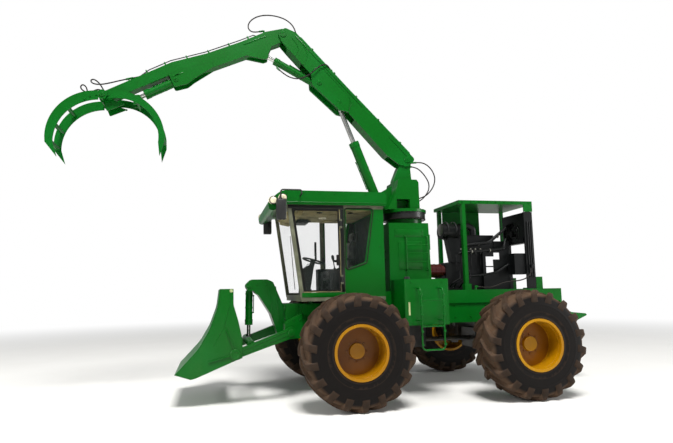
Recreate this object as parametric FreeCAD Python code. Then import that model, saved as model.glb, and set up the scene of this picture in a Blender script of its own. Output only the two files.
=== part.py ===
import FreeCAD
import Part
import math
import os

# Sugarcane loader: four big driven wheels, a cab over the front axle, a slewing
# knuckle boom with a two-jaw grab behind the cab, an open engine bay at the rear
# and a push blade in front.
# Row frame in millimetres: +X forward, +Y left, +Z up, origin on the ground
# under the front axle.

# ---------------------------------------------------------------- clearances
RUNNING = 0.05          # radial play of a pin or shaft in its bore
SEAT_GAP = 0.3          # between faces that turn on each other
SIDE_GAP = 5.0          # between a moving piece and its neighbour

# ---------------------------------------------------------------- wheels
WHEELBASE = 2880.0
TRACK_HALF = 1475.0     # centre of a tyre from the middle of the machine
TYRE_R = 865.0          # out to the tips of the lugs
TYRE_SECTION = 600.0
TREAD_WIDTH = 520.0
TYRE_FACETS = 20
LUGS = 18               # on each half of the tread
LUG_SWEEP = 250.0       # how far a lug's shoulder end lies round from its middle end
LUG_IN = 85.0           # lug's length round the tyre at the middle, and at the shoulder
LUG_OUT = 112.0
LUG_DRAFT = 22.0        # how much wider its foot is
CARCASS_R = 820.0
BEAD_R = 381.0          # 30 inch rim
RIM_WIDTH = 570.0       # between the flanges
FLANGE_R = 410.0
RIM_WALL = 12.0
FLANGE_T = 14.0
DISC_OUT = 20.0         # outer face of the wheel disc, outboard of the tyre's centre
DISC_T = 20.0
HUB_CAP_R = 125.0
HUB_CAP_H = 34.0
SPINDLE_R = 55.0
SPINDLE_L = 40.0        # how far the spindle reaches into the hub
MOTOR_R = 180.0         # wheel motor inside the rim
AXLE_R = 125.0

# ---------------------------------------------------------------- steering
KINGPIN_Y = 1100.0
KINGPIN_R = 35.0
KNUCKLE_R = 65.0
KNUCKLE_H = 330.0       # height of the knuckle's barrel
YOKE_T = 45.0
YOKE_BOSS_R = 75.0
KINGPIN_L = 60.0        # depth of each kingpin in the knuckle
STEER_ARM = 270.0       # kingpin to tie rod eye
STEER_ARM_T = 30.0
STEER_EYE_R = 48.0
TIE_ROD_R = 24.0

# ---------------------------------------------------------------- frame
FRAME_REAR = -4240.0
FRAME_FRONT = 660.0
FRAME_HALF = 600.0      # outer face of the side beams
FRAME_BOTTOM = 1170.0
FRAME_LEDGE = 1510.0    # underside of the upper rail
FRAME_TOP = 1740.0
FRAME_LOW_TOP = 1560.0  # top under the cab
BED_TOP = 1600.0        # plate between the rails under the engine
RAIL_T = 120.0
WEB_T = 60.0
WEB_INSET = 30.0
BED_T = 40.0
STEP_DOWN = -800.0      # where the frame drops under the cab
BLOCK_FRONT = 900.0
BLOCK_HALF = 400.0
BLOCK_BOTTOM = 1000.0
TAIL_REAR = -4885.0     # tip of the tail plate that carries the hitch
TAIL_HALF = 450.0
TAIL_BOTTOM = 1125.0
TAIL_TIP_Z = 1225.0
HITCH_BORE_R = 26.0
HITCH_BORE_X = -4610.0

# ---------------------------------------------------------------- cab
CAB_REAR = -740.0
CAB_HALF = 800.0
CAB_FLOOR = 1600.0
FLOOR_T = 60.0
CAB_TOP = 3190.0
PILLAR = 60.0
B_REAR = -45.0
B_FRONT = 20.0
SCREEN_FOOT = 700.0     # front of the A pillar at the floor
SCREEN_HEAD = 910.0     # front of the A pillar at the roof
PANEL_T = 40.0
GLASS_T = 8.0
DOOR_BOTTOM = 1745.0
DOOR_FRAME = 30.0
DOOR_T = 34.0
HINGE_R = 15.0
HINGE_PIN_R = 7.0
HINGE_H = 90.0
HINGE_Z = (1950.0, 2880.0)
ROOF_HALF = 850.0
ROOF_TOP = 3420.0
ROOF_REAR = -790.0
ROOF_NOSE = 1235.0
LAMP_R = 62.0
LAMP_PLACES = ((1150.0, 3240.0), (990.0, 3285.0))      # x and z of the lamps on the roof's sides
MIRROR = (968.0, 1112.0, 925.0, 1045.0, 2915.0, 3243.0)     # left mirror's box
MIRROR_ARM = ((700.0, ROOF_HALF, 3330.0), (700.0, 985.0, 3330.0), (700.0, 985.0, 3400.0),
              (1040.0, 985.0, 3400.0), (1040.0, 985.0, 3240.0))
COWL_HALF = 120.0

# ---------------------------------------------------------------- pedestal, tanks
SLEW_X = -1440.0
PEDESTAL_REAR = -1720.0
PEDESTAL_FRONT = -940.0
PEDESTAL_HALF = 500.0
PEDESTAL_TOP = 2950.0
SLEW_R = 395.0
SLEW_BOTTOM = 3050.0
SLEW_TOP = 3180.0
SPIGOT_R = 160.0
TURNTABLE_R = 415.0
TURNTABLE_T = 50.0
TANK_REAR = -1670.0
TANK_FRONT = -910.0
TANK_OUT = 1200.0
TANK_BOTTOM = 1190.0
TANK_TOP = 1930.0
LADDER_OUT = 170.0         # from the tank to the rails
LADDER_X = (-1490.0, -1110.0)
LADDER_TOP = 1780.0
LADDER_FOOT = 815.0
LADDER_STAY = 1270.0
RUNGS = (1180.0, 1590.0)

# ---------------------------------------------------------------- boom geometry
BOOM_PIN = (-1510.0, 4215.0)
BOOM_ANGLE = 44.32
BOOM_LENGTH = 3285.0
BOOM_HALF = 125.0
CHEEK_T = 25.0
HEAD_HALF = 95.0       # tower head and stick root, between the cheeks
STICK_ANGLE = -24.37
STICK_LENGTH = 3392.0
STICK_HALF = 92.0
ELBOW_HOME = (840.2, 6510.1)      # where the elbow and the jaws' pin stand at these sizes
JAW_HOME = (3930.0, 5110.5)
PIN_R = 45.0
LIFT_BASE = (-920.0, 3440.0)
LIFT_EYE = (1659.0, -155.0)      # on the boom, along and above its pin line
LIFT_BARREL_R = 88.0
LIFT_ROD_R = 43.0
LIFT_BARREL_L = 1150.0
REACH_BASE = (BOOM_LENGTH - 1109.0, -179.0)    # on the boom
REACH_EYE = (430.0, -245.0)      # on the stick
REACH_BARREL_R = 65.0
REACH_ROD_R = 34.0
REACH_BARREL_L = 900.0
GRAB_BASE = (STICK_LENGTH - 1242.0, -120.0)     # on the stick
GRAB_EYE = (-536.0, 61.0)        # on the rear jaw, from the jaw pin
GRAB_BARREL_R = 76.0
GRAB_ROD_R = 38.0
GRAB_BARREL_L = 570.0
JAW_PIN_R = 30.0
JAW_HUB_R = 65.0
FRONT_JAW_HALF = 252.0
REAR_JAW_HALF = 225.0
JAW_T = 18.0

# ---------------------------------------------------------------- blade
PUSH_PIN = (860.0, 1100.0)
PUSH_PIN_R = 40.0
ARM_IN = 640.0
ARM_T = 110.0
ARM_DEPTH = 160.0
BLADE_BOSS = (1723.0, 800.0)
BLADE_BOSS_R = 85.0
BLADE_HALF = 780.0
BLADE_PLATE_T = 20.0
CROSS_TUBE = (1500.0, 930.0)
CROSS_TUBE_R = 65.0
BLADE_CYL_TOP = (1480.0, 1860.0)
BLADE_BARREL_R = 62.0
BLADE_ROD_R = 32.0
BLADE_BARREL_L = 630.0
ARCH_HALF = 170.0

# ---------------------------------------------------------------- engine bay
CANOPY_FRONT = -2305.0
CANOPY_REAR = -3810.0
CANOPY_HALF = 510.0
CANOPY_TOP = 3380.0
CANOPY_T = 65.0
CANOPY_SKIRT = 3185.0      # bottom of the strips at its rear corners
POST = 70.0
POST_X = -2435.0           # rear face of the front posts
POST_FOOT_TOP = 1845.0
FAR_PANEL = (-3290.0, -2480.0, 2750.0)     # panel on the right side: from, to, bottom
CORE_FRONT = -3660.0       # radiator
CORE_REAR = CORE_FRONT - 130.0
CORE_BOTTOM = 2600.0
CORE_TOP = 3180.0
CORE_LEFT = 395.0
CORE_RIGHT = -245.0
FAN_R = 215.0
FAN_HUB_R = 60.0
FAN_DEPTH = 90.0
FAN_Z = 2815.0
SIDE_PANEL = (CORE_REAR - 10.0, CORE_FRONT + 35.0)
SIDE_PANEL_Y = (470.0, 505.0)
COOLER = (CORE_FRONT - 40.0, CORE_FRONT + 260.0, 240.0, 475.0, 2010.0, 2400.0)
ENGINE_HALF = 230.0
ENGINE_REAR = -2950.0
ENGINE_FRONT = -2240.0
ENGINE_DECK = 2260.0       # top of the engine block
HEAD_TOP = 2560.0
# Boxes of the engine, each from and to along x, y and z
ENGINE_HEAD = (ENGINE_REAR, ENGINE_FRONT - 190.0, -ENGINE_HALF, ENGINE_HALF, ENGINE_DECK - 1.0, HEAD_TOP)
ROCKER_COVER = (ENGINE_REAR, ENGINE_FRONT - 230.0, -150.0, 150.0, HEAD_TOP - 1.0, 2700.0)
MANIFOLD = (-3170.0, -2560.0, -120.0, 190.0, 2450.0, 2770.0)
GENERATOR = (-3490.0, -3160.0, -60.0, 200.0, 2480.0, 2655.0)
SUMP_NOSE = (-3300.0, ENGINE_REAR + 1.0, -120.0, 120.0, 1650.0, 1990.0)
BELL_HOUSING = (ENGINE_FRONT - 1.0, -2120.0, -200.0, 260.0, BED_TOP, 2235.0)
COVER_STAND = (-3330.0, -3240.0, 118.0, 271.0, BED_TOP, 1985.0)
FAN_SHAFT = (-3489.0, -3560.0, 2565.0)     # from, to, height
FAN_SHAFT_R = 45.0
COVER_IN = 270.0           # plates on the engine's left side
COVER_OUT = 300.0
COVER_SILL = 2030.0
COVER_TOP = 2475.0
COVER_POST = (-2920.0, -2860.0)
# Plates of that cover, each from and to along x and z
COVER_PLATES = ((-3390.0, COVER_POST[1], BED_TOP, COVER_SILL), (-3390.0, -3083.0, COVER_SILL - 1.0, 2300.0),
                (-3390.0, -3218.0, 2299.0, COVER_TOP), (-3219.0, -3084.0, 2428.0, COVER_TOP),
                (-3085.0, COVER_POST[1], 2356.0, COVER_TOP),
                (COVER_POST[0], COVER_POST[1], COVER_SILL - 1.0, 2357.0))
COVER_STRUT = (-3090.0, -2915.0, 2167.0)   # from, to, height
COVER_STRUT_R = 11.0
PUMP_AT = (150.0, 2100.0)  # y and z of the pump
PUMP_R = 125.0
PUMP_NECK_R = 95.0
PUMP_X = (-2120.0, -2060.0, -1800.0)
CLEANER_AT = (200.0, 2830.0)       # y and z of the air cleaner's drum
CLEANER_R = 145.0
CLEANER_X = (-2075.0, -2400.0)
CLEANER_BANDS = (-2150.0, -2330.0, -2376.0)
CLEANER_STAND = ((-2425.0, 2260.0), (-2250.0, 2260.0), (-2170.0, 2720.0), (-2425.0, 2720.0))
INTAKE_R = 62.0
INTAKE_RUN = ((-2399.0, 2900.0), (-2600.0, 2960.0), (-2735.0, 2890.0))


# ================================================================ helpers
def vec(x, y, z):
    return FreeCAD.Vector(x, y, z)


def block(x0, x1, y0, y1, z0, z1):
    return Part.makeBox(x1 - x0, y1 - y0, z1 - z0, vec(x0, y0, z0))


def bar(start, end, radius):
    """Round bar between two points."""
    axis = end.sub(start)
    return Part.makeCylinder(radius, axis.Length, start, axis)


def cross_bar(at, y0, y1, radius):
    """Round bar across the machine at a point (x, z)."""
    return bar(vec(at[0], y0, at[1]), vec(at[0], y1, at[1]), radius)


def upright(x, y, z0, z1, radius):
    return bar(vec(x, y, z0), vec(x, y, z1), radius)


def outline(points):
    """Closed wire in the XZ plane. A point is (x, z), or (x, z, radius of its corner)."""
    ends = []
    count = len(points)
    for i, point in enumerate(points):
        here = vec(point[0], 0, point[1])
        radius = point[2] if len(point) > 2 else 0
        if not radius:
            ends.append((here, None, here))
            continue
        before, after = points[i - 1], points[(i + 1) % count]
        back = vec(before[0], 0, before[1]).sub(here).normalize()
        on = vec(after[0], 0, after[1]).sub(here).normalize()
        half = back.getAngle(on) / 2
        reach = radius / math.tan(half)
        middle = (back + on).normalize() * (radius / math.sin(half) - radius)
        ends.append((here + back * reach, here + middle, here + on * reach))
    edges = []
    for i, (start, middle, end) in enumerate(ends):
        if middle is not None:
            edges.append(Part.Arc(start, middle, end).toShape())
        following = ends[(i + 1) % count][0]
        if end.sub(following).Length > 1e-6:
            edges.append(Part.LineSegment(end, following).toShape())
    return Part.Wire(edges)


def plate(points, y0, y1):
    """Plate of an XZ outline, from y0 to y1."""
    wire = points if isinstance(points, Part.Wire) else outline(points)
    wire = wire.translated(vec(0, y0, 0))
    return Part.Face(wire).extrude(vec(0, y1 - y0, 0))


def pair(points, inner, outer):
    """The same plate on both sides, between two distances from the middle."""
    return [plate(points, inner, outer), plate(points, -outer, -inner)]


def curve_plate(pieces, y0, y1):
    """Plate whose outline is made of lines (two points) and arcs (three points)."""
    edges = []
    for run in pieces:
        ends = [vec(x, 0, z) for x, z in run]
        edge = Part.Arc(*ends) if len(ends) == 3 else Part.LineSegment(*ends)
        edges.append(edge.toShape())
    return plate(Part.Wire(edges), y0, y1)


def join(shapes):
    whole = shapes[0]
    if len(shapes) > 1:
        whole = shapes[0].multiFuse(shapes[1:])
    return whole.removeSplitter()


def mirror(shape):
    return shape.mirror(vec(0, 0, 0), vec(0, 1, 0))


def both(shape):
    """A piece and its mirror image on the right side."""
    return [shape, mirror(shape)]


def group(shapes):
    return Part.makeCompound(shapes)


def tube(points, radius, bend):
    """Tube along straight runs joined by arcs. bend is one radius, or a list."""
    nodes = [vec(*p) for p in points]
    bends = bend if isinstance(bend, list) else [bend] * (len(nodes) - 2)
    edges = []
    start = nodes[0]
    for i, corner in enumerate(nodes[1:-1]):
        back = nodes[i].sub(corner).normalize()
        on = nodes[i + 2].sub(corner).normalize()
        half = back.getAngle(on) / 2
        reach = bends[i] / math.tan(half)
        first, last = corner + back * reach, corner + on * reach
        lift = (back + on).normalize() * (bends[i] / math.sin(half) - bends[i])
        if first.sub(start).Length > 1e-6:
            edges.append(Part.LineSegment(start, first).toShape())
        edges.append(Part.Arc(first, corner + lift, last).toShape())
        start = last
    if nodes[-1].sub(start).Length > 1e-6:
        edges.append(Part.LineSegment(start, nodes[-1]).toShape())
    path = Part.Wire(edges)
    ring = Part.Circle(nodes[0], nodes[1].sub(nodes[0]), radius).toShape()
    return path.makePipeShell([Part.Wire([ring])], True, True)


CORD_ARC = 0.45         # share of the shorter run that an arc of a cord takes


def cord(points, radius, name):
    """Hose tube whose arcs are as large as their runs allow. Prints its length and radii."""
    nodes = [vec(*p) for p in points]
    bends = []
    for i in range(1, len(nodes) - 1):
        back, on = nodes[i - 1].sub(nodes[i]), nodes[i + 1].sub(nodes[i])
        turn = math.pi - back.getAngle(on)
        bends.append(CORD_ARC * min(back.Length, on.Length) / math.tan(turn / 2))
    solid = tube(points, radius, bends)
    length = solid.Volume / (math.pi * radius * radius)
    print(name, "length %.0f" % length, "radii", [round(b) for b in bends])
    return solid


def local_frame(origin, angle):
    """Function that turns (along, above) of an arm into (x, z) of the machine."""
    c, s = math.cos(math.radians(angle)), math.sin(math.radians(angle))

    def place(point):
        along, above = point[0], point[1]
        x = origin[0] + along * c - above * s
        z = origin[1] + along * s + above * c
        return (x, z) + tuple(point[2:])
    return place


on_boom = local_frame(BOOM_PIN, BOOM_ANGLE)
ELBOW = on_boom((BOOM_LENGTH, 0.0))
on_stick = local_frame(ELBOW, STICK_ANGLE)
JAW_PIN = on_stick((STICK_LENGTH, 0.0))


def on_jaw(point):
    return (JAW_PIN[0] + point[0], JAW_PIN[1] + point[1]) + tuple(point[2:])


def near(pin, home):
    """Function that moves a point (x, y, z) along with a pin that stands at home at these sizes."""
    def move(point):
        return (point[0] + pin[0] - home[0], point[1], point[2] + pin[1] - home[1])
    return move


by_elbow = near(ELBOW, ELBOW_HOME)
by_jaws = near(JAW_PIN, JAW_HOME)


def toward(start, end):
    """Unit vector in the XZ plane from one (x, z) to another."""
    return vec(end[0] - start[0], 0, end[1] - start[1]).normalize()


def at(point, y=0.0):
    return vec(point[0], y, point[1])


# ================================================================ cylinders
def cylinder_barrel(base, eye, radius, rod_radius, length, eye_half, pin_radius):
    """Barrel with a bored base eye. It runs from its pin towards the rod's eye."""
    axis = toward(base, eye)
    foot = at(base)
    eye_radius = pin_radius * 1.9
    lug = bar(foot + vec(0, -eye_half, 0), foot + vec(0, eye_half, 0), eye_radius)
    neck = bar(foot, foot + axis * (eye_radius + 20), eye_radius * 0.8)
    body = bar(foot + axis * (eye_radius + 10), foot + axis * length, radius)
    gland = bar(foot + axis * (length - 60), foot + axis * (length + 25), radius * 1.08)
    solid = join([neck, lug, body, gland])
    solid = solid.cut(bar(foot + vec(0, -eye_half, 0), foot + vec(0, eye_half, 0),
                          pin_radius + RUNNING))
    bore = bar(foot + axis * (eye_radius + 80), foot + axis * (length + 25),
               rod_radius + RUNNING)
    return solid.cut(bore)


def cylinder_rod(base, eye, radius, barrel_length, eye_half, eye_radius, stroke):
    """Rod with its eye. Its inner end stays in the barrel by its stroke."""
    axis = toward(base, eye)
    end = at(eye)
    inner = at(base) + axis * (barrel_length - stroke)
    shaft = bar(inner, end, radius)
    lug = bar(end + vec(0, -eye_half, 0), end + vec(0, eye_half, 0), eye_radius)
    return join([shaft, lug])


# ================================================================ wheels
def revolve_y(points, centre_y, outward):
    """Solid of revolution about the wheel's axle. Points are (outboard, radius)."""
    ends = [vec(0, centre_y + outward * y, r) for y, r in points]
    edges = [Part.LineSegment(a, b).toShape() for a, b in zip(ends, ends[1:] + ends[:1])]
    face = Part.Face(Part.Wire(edges))
    return face.revolve(vec(0, 0, 0), vec(0, 1, 0), 360)


def at_wheel(shape, x):
    return shape.translated(vec(x, 0, TYRE_R))


def facet_ring(profile, facets):
    """Ring of flat facets about the wheel's axle. Points are (outboard, radius of the corners)."""
    turns = [2 * math.pi * (k + 0.5) / facets for k in range(facets)]
    rings = [[vec(r * math.cos(a), y, r * math.sin(a)) for y, r in profile] for a in turns]
    faces = []
    for ring, following in zip(rings, rings[1:] + rings[:1]):
        for j in range(len(profile)):
            k = (j + 1) % len(profile)
            corners = [ring[j], ring[k], following[k], following[j], ring[j]]
            faces.append(Part.Face(Part.makePolygon(corners)))
    return Part.Solid(Part.Shell(faces))


def lug(turn, hand):
    """One lug from the middle of the tread (hand 1 to the left, -1 to the right) to the shoulder."""
    foot_in, foot_out = CARCASS_R - 60, CARCASS_R - 105
    ends = []
    for lean, y_top, y_foot, length, foot in (
            (0.0, 3.0, 3.0, LUG_IN, foot_in),
            (LUG_SWEEP / TYRE_R, TREAD_WIDTH / 2 - 4, TREAD_WIDTH / 2 + 14, LUG_OUT, foot_out)):
        ring = []
        for r, y, half in ((TYRE_R, y_top, length / 2), (foot, y_foot, length / 2 + LUG_DRAFT)):
            for way in (1, -1):
                a = turn - lean + way * half / r
                ring.append(vec(r * math.cos(a), hand * y, r * math.sin(a)))
        ends.append([ring[0], ring[1], ring[3], ring[2]])
    near, far = ends
    faces = [Part.Face(Part.makePolygon(end + end[:1])) for end in ends]
    for j in range(4):
        k = (j + 1) % 4
        for corners in ((near[j], near[k], far[k]), (near[j], far[k], far[j])):
            faces.append(Part.Face(Part.makePolygon(list(corners) + [corners[0]])))
    solid = Part.Solid(Part.Shell(faces))
    if solid.Volume < 0:
        solid.reverse()
    return solid


def tyre():
    """Tyre of a left wheel about its own centre. A lug's corner stands on the ground."""
    half = TYRE_SECTION / 2
    seat = (BEAD_R + SEAT_GAP) / math.cos(math.pi / TYRE_FACETS)
    lip = RIM_WIDTH / 2 - SEAT_GAP
    cross = [(lip, seat), (lip, FLANGE_R + 12), (half, FLANGE_R + 150), (TREAD_WIDTH / 2 + 8, 770)]
    profile = cross + [(0, CARCASS_R)] + [(-y, r) for y, r in reversed(cross)]
    ring = facet_ring(profile, TYRE_FACETS)
    pitch = 2 * math.pi / LUGS
    first = -math.pi / 2 + LUG_IN / 2 / TYRE_R
    lugs = []
    for k in range(LUGS):
        lugs.append(lug(first + k * pitch, 1))
        lugs.append(lug(first + (k + 0.5) * pitch, -1))
    return ring.multiFuse(lugs)


def fitted_tyre(left, x, side):
    """Copy of the left tyre at one wheel, mirrored for the right side."""
    shape = left.translated(vec(0, TRACK_HALF, 0))
    return at_wheel(shape if side > 0 else mirror(shape), x)


def rim(x, side):
    half = RIM_WIDTH / 2
    barrel = [(-half - FLANGE_T, FLANGE_R), (-half, FLANGE_R), (-half, BEAD_R),
              (half, BEAD_R), (half, FLANGE_R), (half + FLANGE_T, FLANGE_R),
              (half + FLANGE_T, BEAD_R - RIM_WALL), (DISC_OUT, BEAD_R - RIM_WALL),
              (DISC_OUT, HUB_CAP_R), (DISC_OUT + HUB_CAP_H, HUB_CAP_R - 10),
              (DISC_OUT + HUB_CAP_H, 0), (DISC_OUT - DISC_T + SPINDLE_L + 2, 0),
              (DISC_OUT - DISC_T + SPINDLE_L + 2, SPINDLE_R + RUNNING),
              (DISC_OUT - DISC_T, SPINDLE_R + RUNNING),
              (DISC_OUT - DISC_T, BEAD_R - RIM_WALL), (-half - FLANGE_T, BEAD_R - RIM_WALL)]
    return at_wheel(revolve_y(barrel, side * TRACK_HALF, side), x)


def wheel_end(start_y):
    """Wheel motor and spindle of the left side, from start_y out into the hub."""
    face = TRACK_HALF + DISC_OUT - DISC_T - SIDE_GAP
    motor = cross_bar((0, 0), start_y, face, MOTOR_R)
    spindle = cross_bar((0, 0), face - 1, TRACK_HALF + DISC_OUT - DISC_T + SPINDLE_L, SPINDLE_R)
    return [motor, spindle]


def axle_saddle():
    """Centre housing and the pads that meet the frame's webs."""
    housing = block(-230, 230, -260, 260, -190, 170)
    web = FRAME_HALF - WEB_INSET
    pad = block(-190, 190, web - WEB_T - 40, web, -90, FRAME_BOTTOM - TYRE_R)
    return [housing] + both(pad)


def front_axle():
    inner = TRACK_HALF - TYRE_SECTION / 2 + 40
    parts = [cross_bar((0, 0), -inner, inner, AXLE_R)] + axle_saddle()
    for piece in wheel_end(inner):
        parts += both(piece)
    return at_wheel(join(parts), 0)


def rear_axle():
    """Beam with a yoke and two kingpins at each end."""
    half = KNUCKLE_H / 2
    back = KINGPIN_Y - KNUCKLE_R - 2 * SIDE_GAP
    parts = [cross_bar((0, 0), -back + 20, back - 20, AXLE_R)] + axle_saddle()
    stem = block(-50, 50, back - 45, back, -half - SIDE_GAP - YOKE_T, half + SIDE_GAP + YOKE_T)
    parts += both(stem)
    for sign in (-1, 1):
        z0 = sign * (half + SIDE_GAP)
        z1 = sign * (half + SIDE_GAP + YOKE_T)
        low, high = min(z0, z1), max(z0, z1)
        ear = block(-75, 75, back - 45, KINGPIN_Y, low, high)
        boss = upright(0, KINGPIN_Y, low, high, YOKE_BOSS_R)
        pin = upright(0, KINGPIN_Y, min(z1, sign * (half - KINGPIN_L)),
                      max(z1, sign * (half - KINGPIN_L)), KINGPIN_R)
        for piece in (ear, boss, pin):
            parts += both(piece)
    return at_wheel(join(parts), -WHEELBASE)


def knuckle():
    """Left knuckle: barrel on the kingpins, wheel motor, spindle and steering arm."""
    half = KNUCKLE_H / 2
    arm_z = -half + 20
    parts = [upright(0, KINGPIN_Y, -half, half, KNUCKLE_R)]
    parts += wheel_end(KINGPIN_Y + YOKE_BOSS_R + 15)
    parts.append(block(-60, 60, KINGPIN_Y, KINGPIN_Y + YOKE_BOSS_R + 20, -half + 30, half - 30))
    parts.append(block(-STEER_ARM, 0, KINGPIN_Y - 35, KINGPIN_Y + 35, arm_z, arm_z + STEER_ARM_T))
    parts.append(upright(-STEER_ARM, KINGPIN_Y, arm_z, arm_z + STEER_ARM_T, STEER_EYE_R))
    solid = join(parts)
    for sign in (-1, 1):
        low, high = sorted((sign * half, sign * (half - KINGPIN_L)))
        solid = solid.cut(upright(0, KINGPIN_Y, low, high, KINGPIN_R + RUNNING))
    return at_wheel(solid, -WHEELBASE)


def tie_rod():
    z0 = -KNUCKLE_H / 2 + 20 + STEER_ARM_T + SEAT_GAP
    lift = TIE_ROD_R + 4
    parts = [cross_bar((-STEER_ARM, z0 + lift), -KINGPIN_Y, KINGPIN_Y, TIE_ROD_R)]
    parts += both(upright(-STEER_ARM, KINGPIN_Y, z0, z0 + 2 * lift, STEER_EYE_R - 8))
    return at_wheel(join(parts), -WHEELBASE)


# ================================================================ frame
def main_frame():
    web = FRAME_HALF - WEB_INSET
    rail = block(FRAME_REAR, STEP_DOWN, FRAME_HALF - RAIL_T, FRAME_HALF, FRAME_LEDGE, FRAME_TOP)
    low_rail = block(STEP_DOWN, FRAME_FRONT, FRAME_HALF - RAIL_T, FRAME_HALF,
                     FRAME_LOW_TOP - 180, FRAME_LOW_TOP)
    rear_web = block(FRAME_REAR, STEP_DOWN, web - WEB_T, web, FRAME_BOTTOM, FRAME_LEDGE)
    front_web = block(STEP_DOWN, FRAME_FRONT, web - WEB_T, web, FRAME_BOTTOM, FRAME_LOW_TOP - 180)
    parts = []
    for piece in (rail, low_rail, rear_web, front_web):
        parts += both(piece)
    inside = FRAME_HALF - RAIL_T
    parts.append(block(FRAME_REAR, STEP_DOWN, -inside, inside, BED_TOP - BED_T, BED_TOP))
    parts.append(block(STEP_DOWN - BED_T, FRAME_FRONT, -inside, inside,
                       FRAME_LOW_TOP - BED_T, FRAME_LOW_TOP))
    parts.append(block(PEDESTAL_REAR, PEDESTAL_FRONT, -inside, inside, BED_TOP, FRAME_TOP))
    parts.append(block(FRAME_REAR, FRAME_REAR + BED_T, -FRAME_HALF, FRAME_HALF,
                       FRAME_BOTTOM, FRAME_TOP))
    for x in (-WHEELBASE - 400, -WHEELBASE + 400, -900, 420):
        parts.append(block(x - 25, x + 25, -web, web, FRAME_BOTTOM, FRAME_BOTTOM + 300))
    parts.append(block(FRAME_FRONT - 60, FRAME_FRONT, -FRAME_HALF, FRAME_HALF,
                       FRAME_BOTTOM, FRAME_LOW_TOP))
    for x in (-560, 480):
        parts += both(upright(x, FRAME_HALF - 90, FRAME_LOW_TOP, CAB_FLOOR, 45))
    tail = [(FRAME_REAR + 20, TAIL_BOTTOM), (TAIL_REAR + 240, TAIL_BOTTOM, 30),
            (TAIL_REAR, TAIL_TIP_Z, 12), (TAIL_REAR + 35, TAIL_TIP_Z + 30, 20),
            (TAIL_REAR + 330, TAIL_TIP_Z + 60), (FRAME_REAR + 20, TAIL_TIP_Z + 200)]
    parts.append(plate(tail, -TAIL_HALF, TAIL_HALF))
    box_rear, box_front = SIDE_PANEL[0] - 135, SIDE_PANEL[0] - SIDE_GAP
    parts += both(block(box_rear, box_front, 300, 505, FRAME_TOP - 20, 1960))
    parts += both(block(box_rear, box_front, 300, 500, BED_TOP - 1, FRAME_TOP))
    parts += [fitting(ENGINE_HOSE, "start"), upright(-2545, 535, FRAME_TOP - 1, 1796, FITTING_R)]
    solid = join(parts)
    return solid.cut(upright(HITCH_BORE_X, 0, TAIL_BOTTOM - 10, TAIL_TIP_Z + 200, HITCH_BORE_R))


def front_block():
    """Cross member ahead of the frame with the brackets and pins of the push arms."""
    parts = [block(FRAME_FRONT, BLOCK_FRONT, -BLOCK_HALF, BLOCK_HALF, BLOCK_BOTTOM, FRAME_LOW_TOP)]
    bracket = [(FRAME_FRONT, BLOCK_BOTTOM), (PUSH_PIN[0] + 90, BLOCK_BOTTOM, 60),
               (PUSH_PIN[0] + 90, 1250, 40), (FRAME_FRONT, 1400)]
    parts += pair(bracket, BLOCK_HALF - 1, ARM_IN - SIDE_GAP)
    parts += both(cross_bar(PUSH_PIN, BLOCK_HALF - 20, ARM_IN + ARM_T + 15, PUSH_PIN_R))
    return join(parts)


def front_arch():
    """Gooseneck that carries the blade's cylinder."""
    top = BLADE_CYL_TOP
    spine = [(BLOCK_FRONT, 1020), (BLOCK_FRONT, 1510), (1080, 1940, 60), (1180, 1985, 40),
             (1430, 1985, 110), (1400, 1760, 40), (1330, 1710), (1130, 1390), (1040, 1140),
             (1000, 1020)]
    ears = [(top[0] - 190, top[1] - 60), (top[0] + 30, top[1] - 75, 60), (top[0] + 80, top[1] + 30, 60),
            (top[0] - 20, 1985, 40), (top[0] - 190, 1985)]
    solid = join([plate(spine, -ARCH_HALF, ARCH_HALF)] + pair(ears, BLADE_BARREL_R + 20, ARCH_HALF))
    slot = block(top[0] - 100, top[0] + 200, -BLADE_BARREL_R - 20, BLADE_BARREL_R + 20,
                 top[1] - 260, top[1] + 80)
    solid = solid.cut(slot)
    return solid.fuse(cross_bar(top, -ARCH_HALF, ARCH_HALF, 28)).removeSplitter()


# ================================================================ blade
def push_arms():
    """Arms from the frame to the blade's bosses, with the tube that joins them."""
    along = toward(PUSH_PIN, BLADE_BOSS)
    place = local_frame(PUSH_PIN, math.degrees(math.atan2(along.z, along.x)))
    length = at(BLADE_BOSS).sub(at(PUSH_PIN)).Length
    half = ARM_DEPTH / 2
    beam = [place(p) for p in ((0, half), (length, half - 15), (length, -half + 15), (0, -half))]
    parts = pair(beam, ARM_IN, ARM_IN + ARM_T)
    for centre, radius in ((PUSH_PIN, ARM_DEPTH / 2 + 15), (BLADE_BOSS, BLADE_BOSS_R)):
        parts += both(cross_bar(centre, ARM_IN, ARM_IN + ARM_T, radius))
    parts.append(cross_bar(CROSS_TUBE, -ARM_IN - 20, ARM_IN + 20, CROSS_TUBE_R))
    solid = join(parts)
    for sign in (-1, 1):
        y0, y1 = sorted((sign * ARM_IN, sign * (ARM_IN + ARM_T)))
        solid = solid.cut(cross_bar(PUSH_PIN, y0, y1, PUSH_PIN_R + RUNNING))
    return solid


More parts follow.
